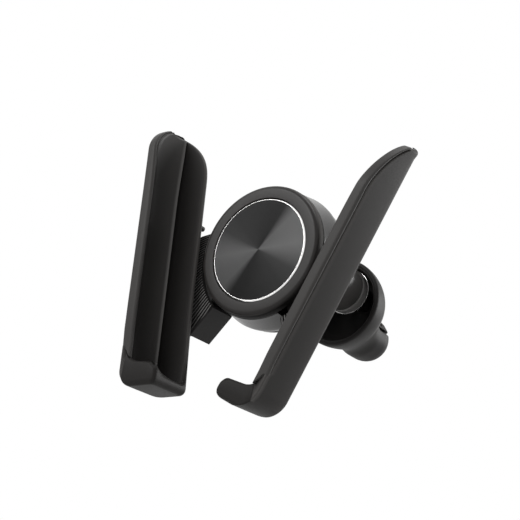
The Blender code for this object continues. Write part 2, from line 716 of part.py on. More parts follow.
def pad_ring(t, foot=False):
    """Section of the soft pad: lip in front, thin wall, crest at the rear."""
    fade = min(max((t - PAD_FADE_START) / PAD_FADE_LENGTH, 0.0), 1.0)
    fade = fade * fade * (3 - 2 * fade)
    out = ARM_WALL + SEAT_GAP
    wall = out + PAD_WALL
    lip = PAD_LIP_REACH + (wall + 0.0002 - PAD_LIP_REACH) * fade
    front = tip_sweep(t) + PAD_FRONT_INSET + 0.0004 * fade
    half = (lip - out) / 2
    section = arc((out + half, front + half), half, 180, 360, 8)
    section += [(lip - 0.1 * half, front + half + 0.0012), (wall + 0.3 * half, front + half + 0.0026)]
    throat = front + half + 0.0040
    crest = ARM_DEPTH - ARM_BACK - PAD_CREST_ROOM
    section += [(wall, throat), (wall, max(crest - 0.0024, throat + 0.0002)), (wall + 0.0005, crest - 0.0008)]
    section += [(PAD_CREST_REACH - 0.0002, crest), (PAD_CREST_REACH, crest + 0.0004),
                (wall + 0.0004, crest + 0.0009), (out, crest + 0.0009)]
    fillet_w = ARM_WALL + FOOT_FILLET
    fillet_t = FOOT_THICKNESS + FOOT_RISE + FOOT_FILLET
    points = []
    for w, d in section:
        place = t
        if foot:
            reach = FOOT_FILLET - SEAT_GAP
            place = fillet_t - math.sqrt(reach ** 2 - min(fillet_w - w, reach) ** 2)
        x, z = on_arm(w, place)
        points.append((x, ARM_FRONT_Y + d, z))
    return points


def arm_pads(material, pivots):
    steps = 9
    fade = [PAD_FADE_START + (PAD_TOP_T - PAD_FADE_START) * i / steps for i in range(steps + 1)]
    stations = [FOOT_THICKNESS + FOOT_RISE + FOOT_FILLET + 0.0010, 0.0400] + fade
    for mirror, side in ((False, "left"), (True, "right")):
        rings = [pad_ring(stations[0], foot=True)] + [pad_ring(t) for t in stations]
        add(f"{side}_pad", lofted(rings), material, pivots[side], mirror)


# Ball joint

def ball_curve(radius, s_start, s_end, steps):
    """Points (radius, y) on a sphere round the ball's centre, from s_start to s_end behind it."""
    points = []
    for i in range(steps + 1):
        s = s_start + (s_end - s_start) * i / steps
        points.append((math.sqrt(max(radius ** 2 - s ** 2, 0.0)), BALL_Y + s))
    return points


def front_seat(material):
    outer = SOCKET_BORE - SEAT_GAP
    front = SOCKET_FRONT_Y + SOCKET_FLOOR + SEAT_GAP
    curve = ball_curve(BALL_RADIUS + BALL_GAP, -SEAT_REACH, -SEAT_SPLIT, 5)
    profile = [(curve[0][0], front), (outer, front), (outer, BALL_Y - SEAT_SPLIT)] + curve[::-1]
    add("front_ball_seat", turned(profile, MEDIUM, (0, NECK_Z), closed=True), material,
        (0, BALL_Y, NECK_Z))


def rear_seat(material):
    """A thin cup round the ball, round outside too, so that it turns inside the socket."""
    inner = ball_curve(BALL_RADIUS + BALL_GAP, SEAT_SPLIT, SEAT_REACH - SEAT_WALL, 5)
    outer = ball_curve(BALL_RADIUS + BALL_GAP + SEAT_WALL, SEAT_SPLIT, SEAT_REACH, 5)
    add("rear_ball_seat", turned(outer + inner[::-1], MEDIUM, (0, NECK_Z), closed=True), material,
        (0, BALL_Y, NECK_Z))


def locking_nut(material):
    front = SOCKET_REAR_Y + SEAT_GAP + 0.0002
    rear = SOCKET_REAR_Y + SEAT_GAP + NUT_LENGTH
    floor = rear - NUT_LIP
    bore = STUB_RADIUS + SEAT_GAP
    rounding = 0.0004
    profile = [(bore, front), (NUT_RADIUS - rounding, front), (NUT_RADIUS, front + rounding),
               (NUT_RADIUS, rear - NUT_CONE_LENGTH), (NUT_CONE_RADIUS, rear),
               (NUT_OPENING + rounding, rear), (NUT_OPENING, floor), (bore, floor)]
    add("locking_nut", turned(profile, MEDIUM, (0, NECK_Z), closed=True), material, (0, BALL_Y, NECK_Z))


def bell_inner_y(radius):
    """Where the bell's inner wall is, at a radius from its axis."""
    inner = BELL_RADIUS - BELL_WALL
    return BELL_MOUTH_Y + (BELL_DEPTH - BELL_WALL) * math.sqrt(1 - (radius / inner) ** 2)


STUD_END_Y = bell_inner_y(NECK_Z - BELL_Z) - 0.0016
BOSS_LENGTH = 0.0050
BOSS_WALL = 0.0018


def ball_stud(material):
    start = math.sqrt(BALL_RADIUS ** 2 - SHAFT_RADIUS ** 2)
    profile = ball_curve(BALL_RADIUS, -BALL_RADIUS, start, 12)
    collar_y = STUD_END_Y - BOSS_LENGTH
    profile += [(SHAFT_RADIUS, collar_y - 0.0012), (SHAFT_RADIUS + 0.0014, collar_y - 0.0012),
                (SHAFT_RADIUS + 0.0014, collar_y - SEAT_GAP), (SHAFT_RADIUS, collar_y - SEAT_GAP),
                (SHAFT_RADIUS, STUD_END_Y), (0, STUD_END_Y)]
    add("ball_stud", turned(profile, MEDIUM, (0, NECK_Z)), material)


# Clip

def bell_curve(radius, depth, grow=0.0, steps=8):
    points = []
    for i in range(steps + 1):
        a = math.radians(90 * i / steps)
        points.append(((radius + grow) * math.cos(a), BELL_MOUTH_Y + (depth + grow) * math.sin(a)))
    return points


def lobe():
    """The rounded body that both jaws share: it swells from the bell to a ball end."""
    steps = 5
    profile = [(0, LOBE_START_Y)]
    for i in range(steps + 1):
        share = i / steps
        swell = share * share * (3 - 2 * share)
        profile.append((LOBE_ROOT_RADIUS + (LOBE_RADIUS - LOBE_ROOT_RADIUS) * swell,
                        LOBE_START_Y + (LOBE_FULL_Y - LOBE_START_Y) * share))
    profile += [(LOBE_RADIUS * math.cos(math.radians(a)), LOBE_Y + LOBE_RADIUS * math.sin(math.radians(a)))
                for a in range(0, 91, 10)]
    return turned(profile, MEDIUM, (0, LOBE_Z))


def lobe_part(plane_z, keep_up):
    """The part of the lobe above or below a level."""
    part = lobe()
    bmesh.ops.bisect_plane(part, geom=part.verts[:] + part.edges[:] + part.faces[:],
                           plane_co=(0, 0, plane_z), plane_no=(0, 0, -1 if keep_up else 1), clear_outer=True)
    bmesh.ops.holes_fill(part, edges=[edge for edge in part.edges if edge.is_boundary])
    bmesh.ops.recalc_face_normals(part, faces=part.faces)
    return part


SLIT_Z = LOBE_Z + JAW_SLIT_RISE
UPPER_FACE_Z = SLIT_Z + JAW_SLIT / 2
LOWER_FACE_Z = SLIT_Z - JAW_SLIT / 2
CUT_REACH = 0.0400          # half length of the cutters that go right through


def clip_body(material):
    """The bell with the lower jaw and the lug that carries the upper one."""
    lip_y = BELL_MOUTH_Y - BELL_LIP
    inner_radius = BELL_RADIUS - BELL_WALL
    profile = bell_curve(BELL_RADIUS, BELL_DEPTH)[::-1] + [(BELL_RADIUS - BELL_LIP / 2, lip_y), (0, lip_y)]
    clip = add("clip_body", turned(profile, FINE, (0, BELL_Z)), material)
    join(clip, lobe_part(LOWER_FACE_Z, False), "lower_jaw")
    root_z = LOWER_FACE_Z - 0.0010
    lug_outline = arc((JAW_PIN_Y, JAW_PIN_Z), LUG_RADIUS, 0, 180, 8)
    lug_outline += [(JAW_PIN_Y - LUG_RADIUS, root_z), (JAW_PIN_Y + LUG_RADIUS, root_z)]
    join(clip, side_extruded(lug_outline, -LUG_HALF_WIDTH, LUG_HALF_WIDTH), "lug")
    mouth = [(0, lip_y - 0.0050), (inner_radius + BELL_LIP / 2, lip_y - 0.0050), (inner_radius + BELL_LIP / 2, lip_y)]
    hollow = turned(mouth + bell_curve(inner_radius, BELL_DEPTH - BELL_WALL), FINE, (0, BELL_Z))
    cut(clip, hollow, "hollow")
    boss_end = STUD_END_Y - BOSS_LENGTH
    join(clip, stud_boss(boss_end), "boss")
    cut(clip, rod(SHAFT_RADIUS + RUN_GAP, boss_end - 0.0010, STUD_END_Y + SEAT_GAP, MEDIUM, (0, NECK_Z)), "stud_hole")
    recess = block((-JAW_PAD_HALF_WIDTH - SEAT_GAP, JAW_PAD_Y[0] - SEAT_GAP, LOWER_FACE_Z - JAW_PAD_RECESS),
                   (JAW_PAD_HALF_WIDTH + SEAT_GAP, JAW_PAD_Y[1] + SEAT_GAP, LOWER_FACE_Z + 0.0010))
    cut(clip, recess, "pad_recess")
    cut(clip, cross_rod(JAW_PIN_RADIUS + RUN_GAP, -CUT_REACH, CUT_REACH, SMALL, JAW_PIN_Y, JAW_PIN_Z), "pin_hole")


def stud_boss(front_y):
    """Round boss on the bell's floor that holds the stud; its root lies inside the bell's wall."""
    rings = []
    outer = SHAFT_RADIUS + BOSS_WALL
    for radius, front in ((outer, True), (outer, False), (outer * 0.4, False)):
        ring = []
        for x, z in arc((0, NECK_Z), radius, 0, 360 - 360 / MEDIUM, MEDIUM - 1):
            off = math.hypot(x, z - BELL_Z)
            ring.append((x, front_y if front else bell_inner_y(off) + BELL_WALL / 2, z))
        rings.append(ring)
    return lofted(rings)


def side_extruded(outline, x_start, x_end):
    """A flat outline of (y, z) points, extruded along X."""
    shape = bmesh.new()
    face = shape.faces.new([shape.verts.new((x_start, y, z)) for y, z in outline])
    grown = bmesh.ops.extrude_face_region(shape, geom=[face])
    moved = [item for item in grown["geom"] if isinstance(item, bmesh.types.BMVert)]
    bmesh.ops.translate(shape, verts=moved, vec=(x_end - x_start, 0.0, 0.0))
    bmesh.ops.recalc_face_normals(shape, faces=shape.faces)
    return shape


def upper_jaw(material):
    """The jaw that opens: the lobe's upper part, behind the bell, with room for the lug and the spring."""
    jaw = add("upper_jaw", lobe_part(UPPER_FACE_Z, True), material, (0, JAW_PIN_Y, JAW_PIN_Z))
    envelope = turned([(0, BELL_MOUTH_Y - 0.0050), (BELL_RADIUS + JAW_BELL_ROOM, BELL_MOUTH_Y - 0.0050)]
                      + bell_curve(BELL_RADIUS, BELL_DEPTH, JAW_BELL_ROOM), FINE, (0, BELL_Z))
    cut(jaw, envelope, "bell_room")
    gap = LUG_HALF_WIDTH + SEAT_GAP
    lug_room = LUG_RADIUS + MOVE_GAP
    cut(jaw, block((-gap, LOBE_START_Y, UPPER_FACE_Z - 0.0010),
                   (gap, JAW_PIN_Y + lug_room, LOBE_Z + LOBE_RADIUS + 0.0010)), "lug_room")
    pocket = JAW_SPRING_RADIUS + JAW_SPRING_WIRE + SEAT_GAP / 2
    pocket_end = JAW_SPRING_X + 2 * JAW_SPRING_WIRE * (JAW_SPRING_TURNS + 2)
    cut(jaw, block((gap - 0.0002, JAW_PIN_Y - pocket, UPPER_FACE_Z - 0.0010),
                   (pocket_end, JAW_PIN_Y + pocket, JAW_PIN_Z + pocket)), "spring_pocket")
    recess = block((-JAW_PAD_HALF_WIDTH - SEAT_GAP, JAW_PAD_Y[0] - SEAT_GAP, UPPER_FACE_Z - 0.0010),
                   (JAW_PAD_HALF_WIDTH + SEAT_GAP, JAW_PAD_Y[1] + SEAT_GAP, UPPER_FACE_Z + JAW_PAD_RECESS))
    cut(jaw, recess, "pad_recess")
    cut(jaw, cross_rod(JAW_PIN_RADIUS + RUN_GAP, -CUT_REACH, CUT_REACH, SMALL, JAW_PIN_Y, JAW_PIN_Z), "pin_hole")


def jaw_pads(material):
    proud = JAW_PAD_PROUD
    upper = block((-JAW_PAD_HALF_WIDTH, JAW_PAD_Y[0], UPPER_FACE_Z - proud),
                  (JAW_PAD_HALF_WIDTH, JAW_PAD_Y[1], UPPER_FACE_Z + JAW_PAD_RECESS - SEAT_GAP))
    lower = block((-JAW_PAD_HALF_WIDTH, JAW_PAD_Y[0], LOWER_FACE_Z - JAW_PAD_RECESS + SEAT_GAP),
                  (JAW_PAD_HALF_WIDTH, JAW_PAD_Y[1], LOWER_FACE_Z + proud))
    add("upper_jaw_pad", upper, material, (0, JAW_PIN_Y, JAW_PIN_Z))
    add("lower_jaw_pad", lower, material)


def jaw_spring(material):
    """A coil round the pin, in a pocket beside the lug."""
    pitch = 2 * JAW_SPRING_WIRE + RUN_GAP
    shape = coil(JAW_SPRING_RADIUS, JAW_SPRING_WIRE, JAW_SPRING_TURNS, 0.0, pitch, (0.0, 0.0))
    bmesh.ops.rotate(shape, verts=shape.verts, cent=(0, 0, 0), matrix=Matrix.Rotation(math.radians(-90), 3, "Z"))
    bmesh.ops.translate(shape, verts=shape.verts, vec=(JAW_SPRING_X + JAW_SPRING_WIRE, JAW_PIN_Y, JAW_PIN_Z))
    add("jaw_spring", shape, material, (0, JAW_PIN_Y, JAW_PIN_Z))


def jaw_pin(material):
    """Length follows the lobe's width at the pin's height."""
    half = math.sqrt(LOBE_RADIUS ** 2 - (JAW_PIN_Z - LOBE_Z) ** 2) - 0.0010
    add("jaw_pin", cross_rod(JAW_PIN_RADIUS, -half, half, SMALL, JAW_PIN_Y, JAW_PIN_Z), material)


def build():
    clear_scene()
    spun_metal = finish("spun_metal", (0.10, 0.098, 0.095), 0.28, 1.0)
    shell_plastic = finish("shell_plastic", (0.022, 0.021, 0.020), 0.55)
    soft_plastic = finish("soft_plastic", (0.030, 0.029, 0.028), 0.70)
    gloss_plastic = finish("gloss_plastic", (0.020, 0.019, 0.018), 0.30)
    rubber = finish("rubber", (0.012, 0.012, 0.012), 0.85)
    steel = finish("steel", (0.42, 0.42, 0.41), 0.35, 1.0)
    inner_plastic = finish("inner_plastic", (0.050, 0.050, 0.050), 0.50)
    pivots = {"left": (-PIVOT_X, 0.0, PIVOT_Z), "right": (PIVOT_X, 0.0, PIVOT_Z)}
    disc_plate(spun_metal)
    bezel(gloss_plastic)
    drum_housing(gloss_plastic)
    back_cover(shell_plastic)
    cover_screws(steel)
    pivot_pins(steel)
    torsion_springs(steel)
    wings(shell_plastic, pivots)
    arms(shell_plastic, pivots)
    arm_screws(steel, pivots)
    arm_pads(soft_plastic, pivots)
    front_seat(inner_plastic)
    rear_seat(inner_plastic)
    locking_nut(gloss_plastic)
    ball_stud(inner_plastic)
    clip_body(shell_plastic)
    upper_jaw(shell_plastic)
    jaw_pads(rubber)
    jaw_pin(steel)
    jaw_spring(steel)


build()
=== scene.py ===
import math

import bmesh
import bpy
from mathutils import Matrix, Vector


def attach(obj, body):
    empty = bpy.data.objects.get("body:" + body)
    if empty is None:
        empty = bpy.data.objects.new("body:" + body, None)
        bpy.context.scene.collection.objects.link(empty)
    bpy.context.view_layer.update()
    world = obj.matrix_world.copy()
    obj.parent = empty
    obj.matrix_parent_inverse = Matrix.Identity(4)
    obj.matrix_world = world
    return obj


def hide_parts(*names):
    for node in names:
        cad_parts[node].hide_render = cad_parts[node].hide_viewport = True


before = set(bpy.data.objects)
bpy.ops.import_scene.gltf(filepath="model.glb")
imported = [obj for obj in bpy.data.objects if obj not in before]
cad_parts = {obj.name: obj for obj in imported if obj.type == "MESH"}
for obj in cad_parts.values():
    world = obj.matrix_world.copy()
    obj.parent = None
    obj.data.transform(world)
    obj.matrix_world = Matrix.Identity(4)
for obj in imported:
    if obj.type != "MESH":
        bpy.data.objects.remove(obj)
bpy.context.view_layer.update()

mm = 0.001
sides = (("left", -1), ("right", 1))

# camera fitted to the photograph: angles in degrees, distance in metres, picture sizes in pixels,
# sensor width in millimetres
photoCamera = {
    "azimuth": 39.27, "elevation": -12.83, "roll": 16.97, "distance": 0.40097,
    "focalPixels": 1121.3, "shiftRight": -1.96, "shiftUp": -10.78, "pictureWidth": 520, "sensor": 36.0,
}


def addCamera():
    p = photoCamera
    azimuth, elevation, roll = [math.radians(p[k]) for k in ("azimuth", "elevation", "roll")]
    back = Vector((math.sin(azimuth) * math.cos(elevation), -math.cos(azimuth) * math.cos(elevation),
                   math.sin(elevation)))
    level = Vector((0, 0, 1)).cross(back).normalized()
    upright = back.cross(level)
    right = math.cos(roll) * level + math.sin(roll) * upright
    up = math.cos(roll) * upright - math.sin(roll) * level
    place = back * p["distance"]
    turnSide = Matrix.Rotation(math.atan2(p["shiftRight"], p["focalPixels"]), 3, up)
    right = turnSide @ right
    back = turnSide @ back
    turnUp = Matrix.Rotation(math.atan2(p["shiftUp"], p["focalPixels"]), 3, right)
    up = turnUp @ up
    back = turnUp @ back
    camera = bpy.data.objects.new("camera", bpy.data.cameras.new("camera"))
    camera.data.sensor_width = p["sensor"]
    camera.data.lens = p["focalPixels"] / p["pictureWidth"] * p["sensor"]
    camera.data.clip_start = 0.01
    camera.matrix_world = Matrix((
        (right.x, up.x, back.x, place.x),
        (right.y, up.y, back.y, place.y),
        (right.z, up.z, back.z, place.z),
        (0, 0, 0, 1)))
    bpy.context.scene.collection.objects.link(camera)
    bpy.context.scene.camera = camera


addCamera()
bpy.context.scene.view_settings.view_transform = "Standard"
print("camera placed")

# node helpers

def setOrLink(tree, value, socket):
    if isinstance(value, bpy.types.NodeSocket):
        tree.links.new(value, socket)
    else:
        socket.default_value = value


def mathNode(tree, operation, *values):
    # each value is a number or another node's output
    node = tree.nodes.new("ShaderNodeMath")
    node.operation = operation
    for socket, value in zip(node.inputs, values):
        setOrLink(tree, value, socket)
    return node.outputs[0]


def mixColor(tree, factor, first, second):
    node = tree.nodes.new("ShaderNodeMix")
    node.data_type = "RGBA"
    setOrLink(tree, factor, node.inputs["Factor"])
    setOrLink(tree, first, node.inputs[6])
    setOrLink(tree, second, node.inputs[7])
    return node.outputs[2]


def mapRange(tree, value, low, high, start=0.0):
    node = tree.nodes.new("ShaderNodeMapRange")
    node.inputs["From Min"].default_value = start
    node.inputs["To Min"].default_value = low
    node.inputs["To Max"].default_value = high
    tree.links.new(value, node.inputs["Value"])
    return node.outputs["Result"]


def scaled(tree, color, share):
    node = tree.nodes.new("ShaderNodeVectorMath")
    node.operation = "SCALE"
    tree.links.new(color, node.inputs[0])
    setOrLink(tree, share, node.inputs["Scale"])
    return node.outputs[0]


def setInputs(node, values):
    for label, value in values.items():
        node.inputs[label].default_value = value


def newMaterial(name):
    material = bpy.data.materials.new(name)
    material.use_nodes = True
    return material, material.node_tree, material.node_tree.nodes["Principled BSDF"]


# studio: white behind, softboxes, floor well below the part
studio = {"plain": 0.28, "seen": 1.0, "floorHalf": 0.7, "floorZ": -0.20, "floorTone": 0.86, "floorRough": 0.9}
lampSettings = [
    # name, place, size, watts
    ("keyBox", (-0.60, -0.95, 0.55), 0.60, 9.0),
    ("fillBox", (0.95, -0.55, 0.30), 0.80, 1.5),
    ("rimBox", (0.50, 0.95, 0.35), 0.50, 8.0),
    ("topBox", (0.10, 0.10, 1.10), 0.70, 6.0),
]


def background(nodes, strength):
    node = nodes.new("ShaderNodeBackground")
    setInputs(node, {"Color": (1, 1, 1, 1), "Strength": strength})
    return node.outputs[0]


def addLamps():
    for name, place, size, watts in lampSettings:
        lamp = bpy.data.lights.new(name, "AREA")
        lamp.size = size
        lamp.energy = watts
        box = bpy.data.objects.new(name, lamp)
        box.location = place
        box.rotation_euler = Vector(place).to_track_quat("Z", "Y").to_euler()
        bpy.context.scene.collection.objects.link(box)


def addWorld():
    # white where it is seen, mirrored or shone through, plain soft light on the part
    world = bpy.data.worlds.new("studioWorld")
    bpy.context.scene.world = world
    world.use_nodes = True
    tree = world.node_tree
    nodes, links = tree.nodes, tree.links
    nodes.clear()
    rays = nodes.new("ShaderNodeLightPath").outputs
    direct = mathNode(tree, "MAXIMUM", rays["Is Camera Ray"], rays["Is Glossy Ray"])
    white = mathNode(tree, "MAXIMUM", direct, rays["Is Transmission Ray"])
    choose = nodes.new("ShaderNodeMixShader")
    links.new(white, choose.inputs["Fac"])
    links.new(background(nodes, studio["plain"]), choose.inputs[1])
    links.new(background(nodes, studio["seen"]), choose.inputs[2])
    links.new(choose.outputs[0], nodes.new("ShaderNodeOutputWorld").inputs["Surface"])


def addFloor():
    shape = bmesh.new()
    bmesh.ops.create_grid(shape, x_segments=1, y_segments=1, size=studio["floorHalf"])
    mesh = bpy.data.meshes.new("floor")
    shape.to_mesh(mesh)
    shape.free()
    floor = bpy.data.objects.new("floor", mesh)
    floor.location = (0, 0, studio["floorZ"])
    bpy.context.scene.collection.objects.link(floor)
    pale, tree, shader = newMaterial("paleFloor")
    setInputs(shader, {"Base Color": (*[studio["floorTone"]] * 3, 1), "Roughness": studio["floorRough"]})
    mesh.materials.append(pale)


addLamps()
addWorld()
addFloor()
print("studio ready")


# shared finish effects

def newGroup(name, inputs, outputs):
    group = bpy.data.node_groups.new(name, "ShaderNodeTree")
    for label, kind, value in inputs:
        socket = group.interface.new_socket(label, in_out="INPUT", socket_type=kind)
        if value is not None:
            socket.default_value = value
    for label, kind in outputs:
        group.interface.new_socket(label, in_out="OUTPUT", socket_type=kind)
    return group, group.nodes.new("NodeGroupInput"), group.nodes.new("NodeGroupOutput")


def addGroup(tree, group, values):
    node = tree.nodes.new("ShaderNodeGroup")
    node.node_tree = group
    setInputs(node, values)
    return node


grain = {"fine": {"Scale": 9000.0, "Detail": 3.0}, "clouds": {"Scale": 45.0, "Detail": 4.0},
         "height": 0.00004, "cloud": 0.15}


def mouldedGrain():
    # fine spark-eroded grain of moulded plastic with slow cloudy changes of tone
    tree, given, result = newGroup(
        "mouldedGrain",
        [("Base", "NodeSocketColor", None), ("Grain Depth", "NodeSocketFloat", None),
         ("Rough", "NodeSocketFloat", None)],
        [("Color", "NodeSocketColor"), ("Roughness", "NodeSocketFloat"), ("Normal", "NodeSocketVector")])
    nodes, links = tree.nodes, tree.links
    coords = nodes.new("ShaderNodeTexCoord").outputs["Object"]
    fine, clouds = nodes.new("ShaderNodeTexNoise"), nodes.new("ShaderNodeTexNoise")
    for noise, values in ((fine, grain["fine"]), (clouds, grain["clouds"])):
        setInputs(noise, values)
        links.new(coords, noise.inputs["Vector"])
    bump = nodes.new("ShaderNodeBump")
    bump.inputs["Distance"].default_value = grain["height"]
    links.new(given.outputs["Grain Depth"], bump.inputs["Strength"])
    links.new(fine.outputs["Fac"], bump.inputs["Height"])
    shift = mathNode(tree, "SUBTRACT", clouds.outputs["Fac"], 0.5)
    amount = mathNode(tree, "MULTIPLY", shift, grain["cloud"])
    tone = scaled(tree, given.outputs["Base"], mathNode(tree, "ADD", amount, 1.0))
    links.new(tone, result.inputs["Color"])
    links.new(mathNode(tree, "ADD", given.outputs["Rough"], amount), result.inputs["Roughness"])
    links.new(bump.outputs["Normal"], result.inputs["Normal"])
    return tree


def paintedLightTone():
    # painted highlights and lit sides: paler, where the piece's own attribute says so
    tree, given, result = newGroup(
        "paintedLightTone", [("Base", "NodeSocketColor", None), ("Painted Light Tone", "NodeSocketColor", None)],
        [("Color", "NodeSocketColor")])
    rubbed = tree.nodes.new("ShaderNodeAttribute")
    rubbed.attribute_name = "paintedLight"
    tone = mixColor(tree, rubbed.outputs["Fac"], given.outputs["Base"], given.outputs["Painted Light Tone"])
    tree.links.new(tone, result.inputs["Color"])
    return tree


# ribs that fan out over the wings' front faces, with painted highlights on their crests
ridges = {"frontY": 3.3 * mm, "apexZ": 18.0 * mm, "startDeg": 20.6, "pitchDeg": 1.45, "crestFrom": 0.1,
          "faceDepth": 0.15 * mm, "crestHighlightTone": (0.130, 0.126, 0.123, 1)}


def ridgeCrestHighlights():
    # moulded ribs that fan out from an apex, with a paler painted highlight tone on their crests
    r = ridges
    tree, given, result = newGroup(
        "ridgeCrestHighlights", [("Base", "NodeSocketColor", None), ("Apex", "NodeSocketVector", None)],
        [("Color", "NodeSocketColor")])
    nodes, links = tree.nodes, tree.links
    fromApex = nodes.new("ShaderNodeVectorMath")
    fromApex.operation = "SUBTRACT"
    links.new(nodes.new("ShaderNodeTexCoord").outputs["Object"], fromApex.inputs[0])
    links.new(given.outputs["Apex"], fromApex.inputs[1])
    apart = nodes.new("ShaderNodeSeparateXYZ")
    links.new(fromApex.outputs[0], apart.inputs[0])
    sideways = mathNode(tree, "ABSOLUTE", apart.outputs["X"])
    down = mathNode(tree, "MULTIPLY", apart.outputs["Z"], -1.0)
    turn = mathNode(tree, "ARCTAN2", sideways, down)
    phase = mathNode(tree, "MULTIPLY_ADD", turn, 360 / r["pitchDeg"],
                     -math.tau * r["startDeg"] / r["pitchDeg"])
    crest = mapRange(tree, mathNode(tree, "COSINE", phase), 0.0, 1.0, r["crestFrom"])
    front = mathNode(tree, "LESS_THAN", apart.outputs["Y"], r["faceDepth"])
    mask = mathNode(tree, "MULTIPLY", crest, front)
    # painted highlight: the crests on the front face take the paler tone
    links.new(mixColor(tree, mask, given.outputs["Base"], r["crestHighlightTone"]), result.inputs["Color"])
    return tree


scratch = {"noise": {"Scale": 1500.0, "Detail": 3.0}, "darkest": 0.85, "rough": (0.8, 1.2)}


def fineScratches():
    # small changes of tone and roughness on bare metal
    tree, given, result = newGroup(
        "fineScratches", [("Base", "NodeSocketColor", None), ("Rough", "NodeSocketFloat", None)],
        [("Color", "NodeSocketColor"), ("Roughness", "NodeSocketFloat")])
    nodes, links = tree.nodes, tree.links
    noise = nodes.new("ShaderNodeTexNoise")
    setInputs(noise, scratch["noise"])
    links.new(nodes.new("ShaderNodeTexCoord").outputs["Object"], noise.inputs["Vector"])
    base = given.outputs["Base"]
    tone = mixColor(tree, noise.outputs["Fac"], scaled(tree, base, scratch["darkest"]), base)
    share = mapRange(tree, noise.outputs["Fac"], *scratch["rough"])
    links.new(tone, result.inputs["Color"])
    links.new(mathNode(tree, "MULTIPLY", given.outputs["Rough"], share), result.inputs["Roughness"])
    return tree


grainGroup = mouldedGrain()
paintedLightGroup = paintedLightTone()
ridgeGroup = ridgeCrestHighlights()
scratchGroup = fineScratches()


def plasticFinish(name, base, rough, grainDepth=0.3, specular=0.5, sheen=0.0, paintedLight=None, apex=None):
    material, tree, shader = newMaterial(name)
    links = tree.links
    moulded = addGroup(tree, grainGroup, {"Base": (*base, 1), "Grain Depth": grainDepth, "Rough": rough})
    tone = moulded.outputs["Color"]
    # painted light, where the piece's attribute asks for it
    if paintedLight is not None:
        wear = addGroup(tree, paintedLightGroup, {"Painted Light Tone": (*paintedLight, 1)})
        links.new(tone, wear.inputs["Base"])
        tone = wear.outputs["Color"]
    if apex is not None:
        ribs = addGroup(tree, ridgeGroup, {"Apex": apex})
        links.new(tone, ribs.inputs["Base"])
        tone = ribs.outputs["Color"]
    links.new(tone, shader.inputs["Base Color"])
    links.new(moulded.outputs["Roughness"], shader.inputs["Roughness"])
    links.new(moulded.outputs["Normal"], shader.inputs["Normal"])
    setInputs(shader, {"Specular IOR Level": specular, "Sheen Weight": sheen, "Sheen Roughness": 0.5})
    return material


# share of a half turn and painted highlight brightness, from the side of the right arm upwards
paintedDiscHighlights = [(0.0, 0.66), (0.08, 0.98), (0.30, 1.0), (0.335, 0.72), (0.39, 0.22), (0.78, 0.20),
               (0.90, 0.27), (1.0, 0.66)]
# turned rings of the disc: tones and roughness at their lowest and highest
discRings = {"wave": {"Scale": 1400.0, "Distortion": 0.6, "Detail": 2.0}, "tones": (0.050, 0.060),
             "rough": (0.34, 0.44), "bump": {"Strength": 0.25, "Distance": 0.00002}, "anisotropy": 0.85}


def spunDiscFinish():
    # dark spun metal: fine rings turned into the face, with painted highlights in the sectors where the rings
    # face the lamps
    cut = discRings
    material, tree, shader = newMaterial("spunDisc")
    nodes, links = tree.nodes, tree.links
    setInputs(shader, {"Metallic": 1.0, "Anisotropic": cut["anisotropy"]})
    coords = nodes.new("ShaderNodeTexCoord").outputs["Object"]
    tangent = nodes.new("ShaderNodeTangent")
    tangent.direction_type = "RADIAL"
    tangent.axis = "Y"
    links.new(tangent.outputs["Tangent"], shader.inputs["Tangent"])
    rings = nodes.new("ShaderNodeTexWave")
    rings.wave_type = "RINGS"
    rings.rings_direction = "Y"
    setInputs(rings, cut["wave"])
    links.new(coords, rings.inputs["Vector"])
    # painted highlight and shade: a bright and a dark pair of sectors scale the cut rings' tone
    apart = nodes.new("ShaderNodeSeparateXYZ")
    links.new(coords, apart.inputs[0])
    turn = mathNode(tree, "ARCTAN2", apart.outputs["Z"], apart.outputs["X"])
    halfTurns = mathNode(tree, "DIVIDE", turn, math.pi)
    highlightSectors = nodes.new("ShaderNodeValToRGB")
    ramp = highlightSectors.color_ramp
    while len(ramp.elements) < len(paintedDiscHighlights):
        ramp.elements.new(0.5)
    for element, (place, level) in zip(ramp.elements, paintedDiscHighlights):
        element.position = place
        element.color = (level, level, level, 1)
    links.new(mathNode(tree, "FRACT", halfTurns), highlightSectors.inputs["Fac"])
    tone = mapRange(tree, rings.outputs["Fac"], *cut["tones"])
    links.new(mathNode(tree, "MULTIPLY", tone, highlightSectors.outputs["Color"]), shader.inputs["Base Color"])
    links.new(mapRange(tree, rings.outputs["Fac"], *cut["rough"]), shader.inputs["Roughness"])
    bump = nodes.new("ShaderNodeBump")
    setInputs(bump, cut["bump"])
    links.new(rings.outputs["Fac"], bump.inputs["Height"])
    links.new(bump.outputs["Normal"], shader.inputs["Normal"])
    return material


def ridgedFinish(label):
    # the ribs' apex in the wing's own coordinates
    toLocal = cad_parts[f"{label}_wing"].matrix_world.inverted()
    apex = toLocal @ Vector((0, ridges["frontY"], ridges["apexZ"]))
    return plasticFinish(f"{label}WingPlastic", (0.012, 0.0114, 0.011), 0.42, specular=0.11, apex=apex)


def metalFinish(name, base, rough):
    material, tree, shader = newMaterial(name)
    setInputs(shader, {"Metallic": 1.0})
    scratches = addGroup(tree, scratchGroup, {"Base": (*base, 1), "Rough": rough})
    tree.links.new(scratches.outputs["Color"], shader.inputs["Base Color"])
    tree.links.new(scratches.outputs["Roughness"], shader.inputs["Roughness"])
    return material
